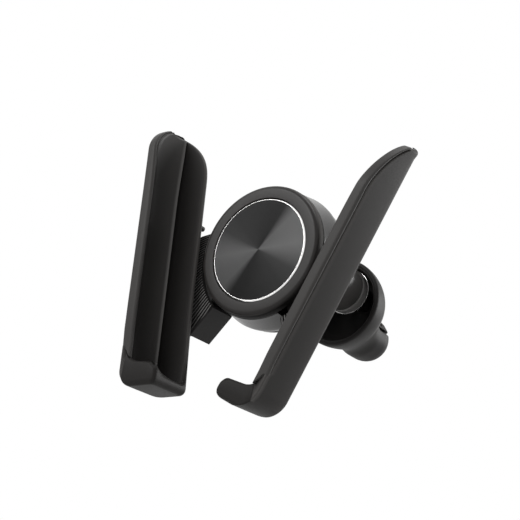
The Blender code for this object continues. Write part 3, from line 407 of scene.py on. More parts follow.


# the last tone given to a finish is a painted highlight tone, laid on where a piece's attribute paints light
softTouch = plasticFinish("softTouchShell", (0.0150, 0.0139, 0.0132), 0.46, specular=0.075, sheen=0.02,
                          paintedLight=(0.060, 0.057, 0.055))
softLiner = plasticFinish("softLiner", (0.0125, 0.0117, 0.0111), 0.40, grainDepth=0.2, specular=0.09,
                          sheen=0.02, paintedLight=(0.110, 0.106, 0.103))
bezelGloss = plasticFinish("bezelPlastic", (0.022, 0.0203, 0.0194), 0.34, grainDepth=0.15, specular=0.15)
# the bezel's side: a darker copy of the bezel plastic as painted shade, with a painted light tone towards the
# upper right
bezelSideShadeAndLight = plasticFinish("bezelSideShadeAndLight", (0.009, 0.0085, 0.0082), 0.55, specular=0.05,
                          paintedLight=(0.060, 0.057, 0.055))
nutPlastic = plasticFinish("nutPlastic", (0.135, 0.130, 0.127), 0.34, grainDepth=0.15, specular=0.3)
drumGloss = plasticFinish("drumPlastic", (0.022, 0.021, 0.020), 0.24, grainDepth=0.1, specular=0.40)
collarPlastic = plasticFinish("collarPlastic", (0.042, 0.040, 0.0385), 0.34, grainDepth=0.15, specular=0.35)
clipPlastic = plasticFinish("clipPlastic", (0.0135, 0.0128, 0.0123), 0.50, grainDepth=0.25, specular=0.09)
# the clip plastic again, with a painted light tone for the lit side of the bell's hollow
bellPlastic = plasticFinish("bellPlastic", (0.0135, 0.0128, 0.0123), 0.50, grainDepth=0.25, specular=0.09,
                            paintedLight=(0.220, 0.213, 0.207))
padRubber = plasticFinish("padRubber", (0.020, 0.020, 0.020), 0.75, grainDepth=0.5)
innerPlastic = plasticFinish("innerPlastic", (0.10, 0.10, 0.10), 0.5)
wingFinishes = {label: ridgedFinish(label) for label, side in sides}
spunDisc = spunDiscFinish()
brightEdge = metalFinish("brightEdge", (0.90, 0.89, 0.88), 0.12)
screwSteel = metalFinish("screwSteel", (0.55, 0.55, 0.54), 0.30)
print("finishes ready")


# shape helpers

def unit(value):
    # held between 0 and 1
    return min(max(value, 0.0), 1.0)


def smoothStep(share):
    return share * share * (3 - 2 * share)


def arcPoints(centre, radius, startDeg, endDeg, steps):
    points = []
    for i in range(steps + 1):
        angle = math.radians(startDeg + (endDeg - startDeg) * i / steps)
        points.append((centre[0] + radius * math.cos(angle), centre[1] + radius * math.sin(angle)))
    return points


def spread(start, end, count):
    # points strictly between start and end
    return [(start[0] + (end[0] - start[0]) * (i + 1) / (count + 1),
             start[1] + (end[1] - start[1]) * (i + 1) / (count + 1)) for i in range(count)]


def rounded(corners, steps, closed=False):
    # corners are (a, b, radius); each one with a radius becomes an arc
    points = []
    count = len(corners)
    for i, (a, b, radius) in enumerate(corners):
        if radius <= 0 or (not closed and i in (0, count - 1)):
            points.append((a, b))
            continue
        here = Vector((a, b))
        before = (Vector(corners[i - 1][:2]) - here).normalized()
        after = (Vector(corners[(i + 1) % count][:2]) - here).normalized()
        half = before.angle(after) / 2
        reach = radius / math.tan(half)
        centre = here + (before + after).normalized() * (radius / math.sin(half))
        start = here + before * reach - centre
        turn = start.angle_signed(here + after * reach - centre)
        for k in range(steps + 1):
            spoke = start.copy()
            spoke.rotate(Matrix.Rotation(-turn * k / steps, 2))
            points.append(tuple(centre + spoke))
    return points


def spun(profile, segments, centre=(0.0, 0.0), closed=False):
    # profile of (radius, y) turned round an axis along Y
    shape = bmesh.new()
    verts = [shape.verts.new((radius, y, 0)) for radius, y in profile]
    for a, b in zip(verts, verts[1:]):
        shape.edges.new((a, b))
    if closed:
        shape.edges.new((verts[-1], verts[0]))
    bmesh.ops.spin(shape, geom=shape.verts[:] + shape.edges[:], cent=(0, 0, 0), axis=(0, 1, 0),
                   angle=math.tau, steps=segments, use_merge=True)
    bmesh.ops.remove_doubles(shape, verts=shape.verts, dist=1e-7)
    bmesh.ops.recalc_face_normals(shape, faces=shape.faces)
    bmesh.ops.translate(shape, verts=shape.verts, vec=(centre[0], 0, centre[1]))
    return shape


def swept(rings):
    # a first ring of points, extruded from ring to ring and closed at both ends
    shape = bmesh.new()
    row = [shape.verts.new(point) for point in rings[0]]
    edges = [shape.edges.new((row[i], row[(i + 1) % len(row)])) for i in range(len(row))]
    shape.faces.new(row)
    for ring in rings[1:]:
        grown = bmesh.ops.extrude_edge_only(shape, edges=edges)["geom"]
        newVerts = {item for item in grown if isinstance(item, bmesh.types.BMVert)}
        newRow = []
        for vert in row:
            newRow.append(next(edge.other_vert(vert) for edge in vert.link_edges
                               if edge.other_vert(vert) in newVerts))
        for vert, point in zip(newRow, ring):
            vert.co = point
        edges = [shape.edges.get((newRow[i], newRow[(i + 1) % len(newRow)])) for i in range(len(newRow))]
        row = newRow
    shape.faces.new(row)
    bmesh.ops.recalc_face_normals(shape, faces=shape.faces)
    return shape


def mirrorIfRight(shape, side):
    if side > 0:
        bmesh.ops.scale(shape, vec=(-1, 1, 1), verts=shape.verts)
        bmesh.ops.reverse_faces(shape, faces=shape.faces)


# each vertex's share of painted light
def markPaintedLight(shape, rule):
    layer = shape.verts.layers.float.new("paintedLight")
    for vert in shape.verts:
        vert[layer] = rule(*vert.co)


def fadeBelow(value, width):
    return min(max(1.5 - value / width, 0.0), 1.0)


def piece(name, shape, material, body, stands=(), sharpDeg=35):
    mesh = bpy.data.meshes.new(name)
    shape.to_mesh(mesh)
    shape.free()
    mesh.shade_smooth()
    mesh.set_sharp_from_angle(angle=math.radians(sharpDeg))
    obj = bpy.data.objects.new(name, mesh)
    bpy.context.scene.collection.objects.link(obj)
    for item in material if isinstance(material, list) else [material]:
        mesh.materials.append(item)
    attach(obj, body)
    if stands:
        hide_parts(*stands)


# arms: w inward from the outer face, d back from the front edge, t up from the foot
arm = {
    "leanDeg": 14.0, "footX": 29.0 * mm, "footZ": -59.8 * mm, "frontY": -17.2 * mm,
    "length": 103.8 * mm, "depth": 18.7 * mm, "wall": 1.7 * mm, "back": 2.3 * mm, "reach": 15.2 * mm,
    "rearRadius": 2.7 * mm, "frontRadius": 0.5 * mm, "rimRadius": 1.1 * mm, "cornerRadius": 1.6 * mm,
    "footReach": 16.3 * mm, "footThickness": 7.2 * mm, "footRise": 0.9 * mm, "outset": 0.4 * mm,
    "fillet": 5.8 * mm, "footEdge": 1.3 * mm, "footEndRadius": 2.9 * mm, "bulge": 0.12 * mm,
    "rimLength": 23.4 * mm, "rimEnd": 0.6 * mm, "beadDepth": 1.5 * mm, "beadRamp": 0.2, "leastRim": 0.6 * mm,
    "bulgeFade": 4 * mm, "bowlStart": 1.2 * mm, "tipRear": 2 * mm, "leastDepth": 0.5 * mm,
    "flatRoom": 0.8 * mm, "peg": 1.0 * mm, "pegEnd": 8.6 * mm, "pegW": 9.7 * mm, "pegT": 67.2 * mm,
    "pegSunk": 0.5 * mm, "pegRound": 0.35 * mm,
}
# heights of the sections between foot and tip
armStations = [18 * mm, 25 * mm, 35 * mm, 45 * mm, 55 * mm, 65 * mm, 73 * mm]
# the two tips and heels are rounded a little differently, as the photograph shows them
armSides = {
    "left": {"heelRadius": 5.0 * mm, "sweepLength": 11.8 * mm, "tipSweep": 13.0 * mm, "footDown": 1.0 * mm,
             "footLow": 1.9 * mm, "bowl": 4.6 * mm, "sweepPower": 1.8, "rimPower": 2.9, "tipRound": 1.3 * mm},
    "right": {"heelRadius": 8.8 * mm, "sweepLength": 21.5 * mm, "tipSweep": 16.0 * mm, "footDown": 0.0,
              "footLow": 3.0 * mm, "bowl": 3.6 * mm, "sweepPower": 1.55, "rimPower": 2.2,
              "tipRound": 1.8 * mm},
}
# where painted highlights lie on the arms' rims, front edges and outer faces
armHighlightBands = {"edge": 0.5 * mm, "rimDepth": 2.4 * mm, "faceStart": 6 * mm, "faceLength": 12 * mm, "face": 0.35,
             "outer": 1 * mm, "fromHeight": 15 * mm}


def armToWorld():
    lean = math.radians(arm["leanDeg"])
    return Matrix((
        (math.cos(lean), 0, -math.sin(lean), -arm["footX"]),
        (0, 1, 0, arm["frontY"]),
        (math.sin(lean), 0, math.cos(lean), arm["footZ"]),
        (0, 0, 0, 1)))


# where the foot's fillet ends and the trough begins
topOfFillet = arm["footThickness"] + arm["footRise"] + arm["fillet"]


def drawIn(radius, distance):
    # how far a rounded edge has drawn in, this far from its end
    if distance >= radius:
        return 0.0
    return radius - math.sqrt(max(radius ** 2 - (radius - distance) ** 2, 0.0))


def tipSweep(t, label):
    # how far the front edge has swept back towards the tip
    own = armSides[label]
    share = 1 - (arm["length"] - t) / own["sweepLength"]
    if share <= 0:
        return 0.0
    return own["tipSweep"] * (1 - (1 - min(share, 1.0) ** own["sweepPower"]) ** (1 / own["sweepPower"]))


def rimReach(t, label):
    a = arm
    blend = 4 * a["footThickness"]
    if t < blend:
        return a["footReach"] + (a["reach"] - a["footReach"]) * t / blend
    share = (a["rimLength"] - (a["length"] - t)) / (a["rimLength"] - a["rimEnd"])
    least = a["wall"] + a["leastRim"]
    return least + (a["reach"] - least) * (1 - unit(share) ** armSides[label]["rimPower"])


def outerHalf(w0, w1, d0, d1):
    # from the middle of the front edge round the outer face and the rear to the rim
    a = arm
    width = w1 - w0
    front = min(a["frontRadius"], 0.45 * width, 0.3 * (d1 - d0))
    rear = min(a["rearRadius"], 0.45 * width, 0.45 * (d1 - d0))
    rim = min(a["rimRadius"], 0.45 * width, 0.4 * (d1 - d0))
    points = arcPoints((w0 + front, d0 + front), front, 270, 180, 6)
    points += spread((w0, d0 + front), (w0, d1 - rear), 7)
    points += arcPoints((w0 + rear, d1 - rear), rear, 180, 90, 10)
    points += spread((w0 + rear, d1), (w1 - rim, d1), 5)
    points += arcPoints((w1 - rim, d1 - rim), rim, 90, 0, 6)
    bowed = []
    for w, d in points:
        across = 2 * (d - d0) / (d1 - d0) - 1
        fade = max(0.0, 1 - (w - w0) / a["bulgeFade"])
        bowed.append((w + a["bulge"] * across ** 2 * fade * min(1.0, width / a["bulgeFade"]), d))
    return bowed


# points along the hollow side of a section, and the least room that its corner keeps
counts = {"rimArc": 6, "backFace": 9, "corner": 6, "wallFace": 9, "frontArc": 4}
leastRoom = 0.02 * mm


def troughHalf(w0, w1, d0, d1):
    # the hollow side of the section, from the rim to the front edge
    a = arm
    width = w1 - w0
    rim = min(a["rimRadius"], 0.45 * width, 0.4 * (d1 - d0))
    wall = min(a["wall"], 0.8 * width)
    backFace = max(d1 - a["back"], d0 + 0.3 * (d1 - d0))
    corner = min(a["cornerRadius"], 0.8 * max(backFace - d0, leastRoom),
                 0.6 * max(width - wall - rim, leastRoom))
    front = min(a["frontRadius"], 0.45 * wall, 0.3 * (d1 - d0))
    inner = w0 + wall
    points = arcPoints((w1 - rim, backFace + rim), rim, 0, -90, counts["rimArc"])
    points += spread((w1 - rim, backFace), (inner + corner, backFace), counts["backFace"])
    points += arcPoints((inner + corner, backFace - corner), corner, 90, 180, counts["corner"])
    points += spread((inner, backFace - corner), (inner, d0 + front), counts["wallFace"])
    points += arcPoints((inner - front, d0 + front), front, 0, -80, counts["frontArc"])
    return points


def footHalf(w0, w1, d0, d1):
    # the same points on the foot's end and front faces
    a = arm
    rim = min(a["rimRadius"], 0.45 * (w1 - w0))
    edge = min(a["footEdge"], 0.45 * (w1 - w0))
    front = a["frontRadius"]
    points = spread((w1, d1 - rim), (w1, d0 + edge), counts["rimArc"] + 1 + counts["backFace"])
    points += arcPoints((w1 - edge, d0 + edge), edge, 0, -90, counts["corner"])
    points += spread((w1 - edge, d0), (w0 + front, d0), counts["wallFace"] + counts["frontArc"] + 1)
    return points


def bowlDrop(d, label):
    # the foot's upper side sinks towards the back wall
    start = arm["bowlStart"]
    share = unit((d - start) / (arm["depth"] - arm["back"] - start))
    return armSides[label]["bowl"] * (1 - (1 - share) ** 3)


def footTop(w, d, d1, label):
    # height of the foot's upper side, with the fillets to the outer and the back wall
    a = arm
    flatStart = a["wall"] + a["fillet"]
    centre = topOfFillet - 0.02 * mm
    far = a["footReach"] - a["footEndRadius"]
    if w >= flatStart - a["flatRoom"]:
        share = unit((far - w) / (far - flatStart + a["flatRoom"]))
        height = a["footThickness"] + a["footRise"] * share
    else:
        height = centre - math.sqrt(max(a["fillet"] ** 2 - (flatStart - w) ** 2, 0.0))
    height += drawIn(a["cornerRadius"], max(d1 - a["back"] - d, 0.0))
    return height - bowlDrop(d, label)


def armShell(label):
    a = arm
    lowEnd = armSides[label]["footLow"]
    footDown = armSides[label]["footDown"]
    heelRadius = armSides[label]["heelRadius"]
    rings = []

    def place(pointsAndHeights):
        rings.append([Vector((w, d, t)) for w, d, t in pointsAndHeights])

    def limits(t):
        # the bead of the liner lies in front of the wall above the foot
        end = a["length"] - t
        step = unit((t - topOfFillet) / (a["beadRamp"] * a["fillet"]))
        w0 = drawIn(heelRadius, t) + drawIn(armSides[label]["tipRound"], end) - a["outset"]
        w1 = rimReach(t, label) - drawIn(lowEnd, t)
        d0 = tipSweep(t, label) + drawIn(a["footEdge"], t) + a["beadDepth"] * smoothStep(step)
        d1 = a["depth"] - drawIn(a["footEdge"], t) - drawIn(a["tipRear"], end)
        return w0, w1, min(d0, d1 - a["leastDepth"]), d1

    heel = [lowEnd * (1 - math.cos(math.radians(7.5 * i))) for i in range(13)]
    for t in heel:
        box = limits(t)
        place([(w, d, t - footDown * (1 - t / lowEnd)) for w, d in outerHalf(*box) + footHalf(*box)])
    # over the foot's rounded upper edges
    topFlat = a["footThickness"]
    steps = 8
    for i in range(1, steps + 1):
        angle = math.radians(90 * i / steps)
        t = lowEnd + (topFlat - lowEnd) * i / steps
        row = [(w, d, t) for w, d in outerHalf(*limits(t))]
        w0, w1, d0, d1 = limits(lowEnd)
        for w, d in footHalf(w0, w1, d0, d1):
            endShare = unit((w - (w1 - a["footEndRadius"])) / a["footEndRadius"])
            frontShare = unit((a["footEdge"] - d) / a["footEdge"])
            radius = a["footEdge"] + (a["footEndRadius"] - a["footEdge"]) * endShare
            top = footTop(w - radius * endShare, d + radius * frontShare, d1, label)
            radius = min(radius, top - lowEnd)
            moveW = radius * (1 - math.cos(angle)) * endShare
            moveD = radius * (1 - math.cos(angle)) * frontShare
            row.append((w - moveW, d + moveD, top - radius + radius * math.sin(angle)))
        place(row)
    insets = [(w, d) for w, d, t in row[-len(footHalf(*limits(lowEnd))):]]
    # across the foot's top to the walls of the trough
    steps = 12
    for i in range(1, steps + 1):
        share = i / steps
        eased = 1 - (1 - share) ** 1.6
        t = topFlat + (topOfFillet - topFlat) * share
        row = [(w, d, t) for w, d in outerHalf(*limits(t))]
        goal = troughHalf(*limits(topOfFillet))
        for (w, d), (gw, gd) in zip(insets, goal):
            pw = w + (gw - w) * eased
            pd = d + (gd - d) * eased
            row.append((pw, pd, footTop(pw, pd, a["depth"], label)))
        place(row)
    steps = 30
    tip = [a["length"] - a["rimLength"] * (1 - math.sin(math.radians(90 * i / steps)))
           for i in range(steps + 1)]
    for t in [topOfFillet + 1.2 * mm] + armStations + tip:
        box = limits(t)
        place([(w, d, t) for w, d in outerHalf(*box) + troughHalf(*box)])
    return swept(rings)


def armPaintedHighlights(w, d, t, label):
    # painted highlights on the rim, the front edge and the rear of the outer face
    lightBands = armHighlightBands
    outer = w < lightBands["outer"]
    if not (outer or t > lightBands["fromHeight"]):
        return 0.0
    rim = fadeBelow(rimReach(t, label) - w, lightBands["edge"]) * (d > arm["depth"] - lightBands["rimDepth"])
    front = fadeBelow(d - tipSweep(t, label) - arm["beadDepth"], lightBands["edge"])
    face = lightBands["face"] * unit((d - lightBands["faceStart"]) / lightBands["faceLength"]) ** 2 * outer
    return max(rim, front, face)


def buildArms():
    for label, side in sides:
        shape = armShell(label)
        # the arm's painted highlights, stored on its vertices
        markPaintedLight(shape, lambda w, d, t: armPaintedHighlights(w, d, t, label))
        bmesh.ops.transform(shape, matrix=armToWorld(), verts=shape.verts)
        mirrorIfRight(shape, side)
        piece(f"{label}ArmShell", shape, softTouch, f"{label}_side", [f"{label}_arm"], 50)
        place = armToWorld() @ Vector((arm["pegW"], 0, arm["pegT"]))
        root = arm["frontY"] + arm["depth"] - arm["pegSunk"]
        profile = rounded([(0, root, 0), (arm["peg"], root, 0), (arm["peg"], arm["pegEnd"], arm["pegRound"]),
                           (0, arm["pegEnd"], 0)], 5)
        peg = spun(profile, 32, (side * -place.x, place.z))
        piece(f"{label}ArmPeg", peg, softTouch, f"{label}_side", ())


buildArms()
print("arms built")

# soft liners: a bead over the arm's front edge, a hollow channel, and a crest before the back wall
pad = {
    "gap": 0.12 * mm, "wall": 0.9 * mm, "beadReach": 3.9 * mm, "beadFore": 0.45 * mm, "beadHalf": 0.85 * mm,
    "beadRise": 13 * mm, "beadRiseLength": 9 * mm, "beadAbove": 0.5 * mm, "fadeLength": 30 * mm,
    "channelFrom": 2.6 * mm, "channelPower": 2.2, "crestRoom": 2.1 * mm, "crestShift": 1.2 * mm,
    "crestReach": 4.5 * mm, "crestLip": 0.28 * mm, "rearGap": 0.15 * mm, "top": 102.6 * mm,
}
# where painted light lies on the liners' beads, crests and channels
padLightBands = {"bead": 0.36, "beadFrom": 1.9, "beadEdge": 0.25 * mm, "beadOver": 1 * mm, "crest": 1.0,
             "crestIn": 0.45 * mm, "crestBand": 1.8 * mm, "channel": 0.33, "tip": 0.30, "tipFrom": 78 * mm,
             "tipLength": 22 * mm}
padStations = [20 * mm, 30 * mm, 40 * mm, 50 * mm, 60 * mm]


def padSection(t, label):
    # a bead that hangs over the wall's front edge, then the channel, then the crest
    p = pad
    out = arm["wall"] + p["gap"]
    wall = out + p["wall"]
    shareUp = smoothStep(unit((t - (p["top"] - p["fadeLength"])) / p["fadeLength"]))
    tipIn = drawIn(armSides[label]["tipRound"], arm["length"] - t)
    rearMost = arm["depth"] - arm["back"] - p["rearGap"]
    fore = p["beadFore"] * smoothStep(unit((t - p["beadRise"]) / p["beadRiseLength"]))
    front = min(tipSweep(t, label) - fore, rearMost - p["channelFrom"])
    crest = min(arm["depth"] - arm["back"] - p["crestRoom"] + p["crestShift"] * shareUp, rearMost - 0.3 * mm)
    half = p["beadHalf"] * (1 - 0.25 * shareUp)
    reach = p["beadReach"] - 1.0 * mm * shareUp
    start = tipIn - arm["outset"]
    section = arcPoints((start + half, front + half), half, 90, 270, 9)
    section += spread((start + half, front), (reach - half, front), 2)
    section += arcPoints((reach - half, front + half), half, -90, 60, 8)
    channelStart = (wall, min(front + p["channelFrom"], crest - 1.6 * mm))
    section += [(wall + 0.45 * mm, min(front + 1.75 * mm, crest - 1.9 * mm)), channelStart]
    # the hollow channel: a long curve that reaches out to the crest
    steps = 12
    edge = (max(min(p["crestReach"], rimReach(t, label) - 0.4 * mm), wall + 0.5 * mm) - p["crestLip"], crest)
    for i in range(1, steps):
        share = i / steps
        w = wall + (edge[0] - wall) * share ** p["channelPower"]
        d = channelStart[1] + (edge[1] - channelStart[1]) * share
        section.append((w, d))
    section += arcPoints((edge[0], edge[1] + p["crestLip"]), p["crestLip"], -70, 90, 6)
    section += [(wall + 0.2 * mm, crest + 0.6 * mm + 0.2 * mm), (out, crest + 0.8 * mm)]
    section += spread((out, crest + 0.8 * mm), (out, front + 2 * half), 4)
    return section


def padPaintedLight(w, d, t, label):
    # painted light on the bead's inner edge, the crest, and up the channel towards the crest and the tip
    lightBands = padLightBands
    crestAt = arm["depth"] - arm["back"] - pad["crestRoom"]
    overBead = d - tipSweep(t, label) - lightBands["beadFrom"] * pad["beadHalf"]
    bead = lightBands["bead"] * fadeBelow(overBead, lightBands["beadEdge"]) * (w < pad["beadReach"] + lightBands["beadOver"])
    onCrest = w > pad["crestReach"] - lightBands["crestIn"] and abs(d - crestAt) < lightBands["crestBand"]
    channel = unit((d - pad["channelFrom"]) / (crestAt - pad["channelFrom"])) ** pad["channelPower"]
    tip = unit((t - lightBands["tipFrom"]) / lightBands["tipLength"]) ** 2
    return max(bead, lightBands["crest"] * onCrest, lightBands["channel"] * channel, lightBands["tip"] * tip)


def buildPads():
    steps = 44
    fadeStart = pad["top"] - pad["fadeLength"]
    stations = [topOfFillet + pad["beadAbove"]] + padStations
    stations += [fadeStart + pad["fadeLength"] * math.sin(math.radians(90 * i / steps))
                 for i in range(steps + 1)]
    flatStart = arm["wall"] + arm["fillet"]
    reach = arm["fillet"] - 0.1 * mm

    def onFoot(w, d, label):
        # the liner's lower end follows the foot's fillet and bowl
        across = flatStart - max(w, arm["wall"])
        return topOfFillet - bowlDrop(d, label) - math.sqrt(max(reach ** 2 - across ** 2, 0))

    for label, side in sides:
        rings = [[Vector((w, d, onFoot(w, d, label))) for w, d in padSection(stations[0], label)]]
        for t in stations:
            rings.append([Vector((w, d, t)) for w, d in padSection(t, label)])
        shape = swept(rings)
        # the liner's painted light, stored on its vertices
        markPaintedLight(shape, lambda w, d, t: padPaintedLight(w, d, t, label))
        bmesh.ops.transform(shape, matrix=armToWorld(), verts=shape.verts)
        mirrorIfRight(shape, side)
        piece(f"{label}Liner", shape, softLiner, f"{label}_side", [f"{label}_pad"], 50)


buildPads()
print("pads built")

# disc, bezel and drum
drum = {
    "discRadius": 19.7 * mm, "chamfer": 0.55 * mm, "bezelInner": 20.0 * mm, "bezelWeb": 18 * mm,
    "bezelFloor": 1.8 * mm, "bezelRadius": 25.2 * mm, "bezelRear": 3.3 * mm, "bezelRound": 1.9 * mm,
    "sideFrom": 0.9 * mm, "sideBand": 2 * mm, "litReach": 34 * mm, "front": 3.6 * mm, "widest": 13.0 * mm,
    "rearRadius": 26.4 * mm, "rear": 16.6 * mm, "wall": 2.2 * mm, "coverRadius": 25.6 * mm,
    "coverFront": 16.9 * mm, "coverRear": 19.1 * mm,
}


def buildDisc():
    u = drum
    edge = u["discRadius"] - u["chamfer"]
    flat = spun([(0, 0.02 * mm)] + [(edge * i / 6, 0.02 * mm) for i in range(1, 7)]
                + [(edge, 0.5 * mm), (0, 0.5 * mm)], 192)
    piece("spunDiscFace", flat, spunDisc, "head", ["disc_plate"])
    inner = edge - 0.02 * mm
    profile = rounded([(inner, 0.9 * mm, 0), (inner, 0.0, 0.05 * mm), (edge + 0.08 * mm, 0.0, 0.05 * mm),
                       (u["discRadius"], 0.33 * mm, 0.08 * mm), (u["discRadius"], 1.4 * mm, 0)], 4)
    ring = spun(profile + [(inner, 1.4 * mm)], 192, closed=True)
    piece("polishedChamfer", ring, brightEdge, "head", ())


def buildBezel():
    u = drum
    corners = [(u["bezelInner"], u["bezelFloor"], 0), (u["bezelInner"], 0.05 * mm, 0.12 * mm),
               (u["bezelRadius"] - 0.2 * mm, 0.0, u["bezelRound"]),
               (u["bezelRadius"], u["bezelRear"], 0.15 * mm), (u["bezelWeb"], u["bezelRear"], 0)]
    profile = rounded(corners, 10) + [(u["bezelWeb"], u["bezelFloor"])]
    ring = spun(profile, 192, closed=True)
    # painted light: the bezel's tone grows paler towards its upper right
    markPaintedLight(ring, lambda x, y, z: unit((x + z) / u["litReach"]))
    # the second material covers the bezel's side: darker for painted shade, and paler towards its upper right
    # for painted light
    for face in ring.faces:
        centre = face.calc_center_median()
        if centre.y > u["sideFrom"] and centre.xz.length > u["bezelRadius"] - u["sideBand"]:
            face.material_index = 1
    piece("bezelRing", ring, [bezelGloss, bezelSideShadeAndLight], "head", ["bezel"])


buildDisc()
buildBezel()
print("disc and bezel built")


# drum, cover, neck and nut
neck = {
    "z": 5.0 * mm, "root": 12.8 * mm, "waist": 7.4 * mm, "waistY": 39.0 * mm, "socketFront": 44.5 * mm,
    "socketRear": 58.3 * mm, "socket": 9.0 * mm, "stub": 7.9 * mm, "stubLength": 3.7 * mm, "bore": 6.9 * mm,
    "floor": 47.5 * mm, "nutFront": 58.9 * mm, "nutRear": 64.4 * mm, "nut": 9.1 * mm, "nutOpening": 6.4 * mm,
    "nutCone": 7.4 * mm, "nutConeLength": 1.8 * mm, "nutGap": 0.3 * mm, "nutLip": 1.9 * mm,
    "bandIn": 0.30 * mm, "bandOut": 0.12 * mm, "bandHalf": 0.25 * mm, "bandRear": 0.60 * mm,
}
# the wings' openings in the drum's side: angles from level, and how far back they reach
slot = {"topDeg": 14, "bottomDeg": -57, "rear": 13.3 * mm}


def drumRadius(y):
    u = drum
    if y < u["widest"]:
        share = (y - u["front"]) / (u["widest"] - u["front"])
        return u["bezelRadius"] + (u["rearRadius"] - u["bezelRadius"]) * share ** 1.3
    share = (y - u["widest"]) / (u["rear"] - u["widest"])
    return u["rearRadius"] - (u["rearRadius"] - u["coverRadius"]) * share ** 2


def buildDrum():
    u = drum
    edge = 0.35 * mm
    stations = [u["front"] + edge] + [u["front"] + (u["widest"] - u["front"]) * i / 8 for i in range(1, 8)]
    stations += [u["widest"], slot["rear"], 14.4 * mm, 15.4 * mm, u["rear"] - edge]
    profile = [(u["bezelRadius"] - edge, u["front"])] + [(drumRadius(y), y) for y in stations]
    profile += [(u["coverRadius"] - edge, u["rear"])]
    profile += [(u["coverRadius"] * share, u["rear"]) for share in (0.8, 0.6, 0.4, 0.2)] + [(0, u["rear"])]
    shell = spun(profile, 360)
    doomed = []
    for face in shell.faces:
        centre = face.calc_center_median()
        if centre.y < slot["rear"]:
            turn = math.degrees(math.atan2(centre.z, abs(centre.x)))
            if slot["bottomDeg"] < turn < slot["topDeg"]:
                doomed.append(face)
    bmesh.ops.delete(shell, geom=doomed, context="FACES")
    bmesh.ops.solidify(shell, geom=shell.faces[:], thickness=u["wall"])
    if max(vert.co.xz.length for vert in shell.verts) > u["rearRadius"] + 0.5 * mm:
        raise ValueError("the drum's wall went outward")
    piece("drumShell", shell, drumGloss, "head", ["drum_housing"], 30)


def buildCover():
    u, n = drum, neck
    disc = spun(rounded([(0, u["coverFront"], 0), (u["coverRadius"], u["coverFront"], 0.15 * mm),
                         (u["coverRadius"], u["coverRear"], 1.2 * mm), (0, u["coverRear"], 0)], 8), 192)
    piece("backCoverDisc", disc, softTouch, "head", ["back_cover"])
    y0 = u["coverRear"] - 0.6 * mm
    flare = [(n["root"] + 0.5 * mm, y0), (n["root"], u["coverRear"] + 0.4 * mm)]
    steps = 20
    for i in range(1, steps + 1):
        share = i / steps
        flare.append((n["waist"] + (n["root"] - n["waist"]) * (1 - share) ** 2.2,
                      u["coverRear"] + 0.6 * mm + (n["waistY"] - u["coverRear"]) * share))
    stubEnd = n["socketRear"] + n["stubLength"]
    corners = [(n["socket"], n["socketFront"], 0.7 * mm), (n["socket"], n["socketRear"], 0.2 * mm),
               (n["stub"], n["socketRear"], 0.1 * mm), (n["stub"], stubEnd, 0.3 * mm),
               (n["bore"], stubEnd, 0.2 * mm), (n["bore"], n["floor"], 0.3 * mm), (0, n["floor"], 0)]
    profile = [(0, y0)] + flare + rounded([(n["waist"] + 0.2 * mm, n["waistY"] + 2.0 * mm, 0)] + corners, 5)
    piece("neckAndSocket", spun(profile, 128, (0, n["z"])), collarPlastic, "head", ())


def buildNut():
    n = neck
    y = n["nutRear"] - n["nutConeLength"]
    bore = n["stub"] + n["nutGap"]
    lip = n["nutRear"] - n["nutLip"]
    corners = [(bore, n["nutFront"], 0.1 * mm), (n["nut"], n["nutFront"], 0.4 * mm), (n["nut"], y, 0.3 * mm),
               (n["nutCone"], n["nutRear"], 0.4 * mm), (n["nutOpening"], n["nutRear"], 0.2 * mm),
               (n["nutOpening"], lip, 0.1 * mm), (bore, lip, 0.1 * mm)]
    piece("lockingNutShell", spun(rounded(corners, 5, closed=True), 128, (0, n["z"]), closed=True),
          nutPlastic, "nut", ["locking_nut"])
    inner, outer = n["nut"] - n["bandIn"], n["nut"] + n["bandOut"]
    band = [(inner, y - n["bandHalf"], 0), (outer, y - n["bandHalf"], 0.06 * mm),
            (outer, y + n["bandHalf"], 0.08 * mm), (inner, y + n["bandRear"], 0)]
    piece("nutEdgeRing", spun(rounded(band, 4, closed=True), 128, (0, n["z"]), closed=True),
          brightEdge, "nut", ())


buildDrum()
buildCover()
buildNut()
print("drum, cover, neck and nut built")

# clip: bell and lower jaw in one smooth body
clip = {
    "bellZ": -0.8 * mm, "bell": 17.8 * mm, "wall": 2.0 * mm, "mouth": 58.2 * mm, "depth": 20.0 * mm,
    "lip": 0.6 * mm, "lobe": 9.3 * mm, "lobeRoot": 8.0 * mm, "lobeStart": 70.0 * mm, "lobeFull": 80.0 * mm,
    "lobeY": 84.5 * mm, "lobeZ": -8.1 * mm, "lowerFace": -4.5 * mm, "blend": 5.0 * mm, "faceEdge": 0.5 * mm,
    "pinY": 81.8 * mm, "pinZ": -1.5 * mm, "lugHalf": 1.6 * mm, "lug": 1.8 * mm,
    "boss": 4.4 * mm, "stud": 2.7 * mm, "bossLength": 5.0 * mm, "bossSunk": 0.8 * mm, "bossFloor": 1.6 * mm,
    "startY": 74 * mm, "startZ": -7.5 * mm, "searchReach": 40 * mm, "hollowEndDeg": 89.0, "lugSunk": 1.0 * mm,
    "lightShare": 0.75, "lightPower": 1.5, "lightTo": 72 * mm,
}
# points round the bell, from lobe to mouth, over the lip and down the hollow, and halvings of each search
clipSteps = {"around": 120, "along": 84, "lip": 8, "hollow": 24, "search": 22}


def smoothUnion(a, b, width):
    share = max(width - abs(a - b), 0.0) / width
    return min(a, b) - share * share * width / 4


def bellDistance(x, y, z):
    c = clip
    scaled = math.sqrt((x / c["bell"]) ** 2 + ((z - c["bellZ"]) / c["bell"]) ** 2
                       + ((y - c["mouth"]) / c["depth"]) ** 2)
    return (scaled - 1) * c["bell"]


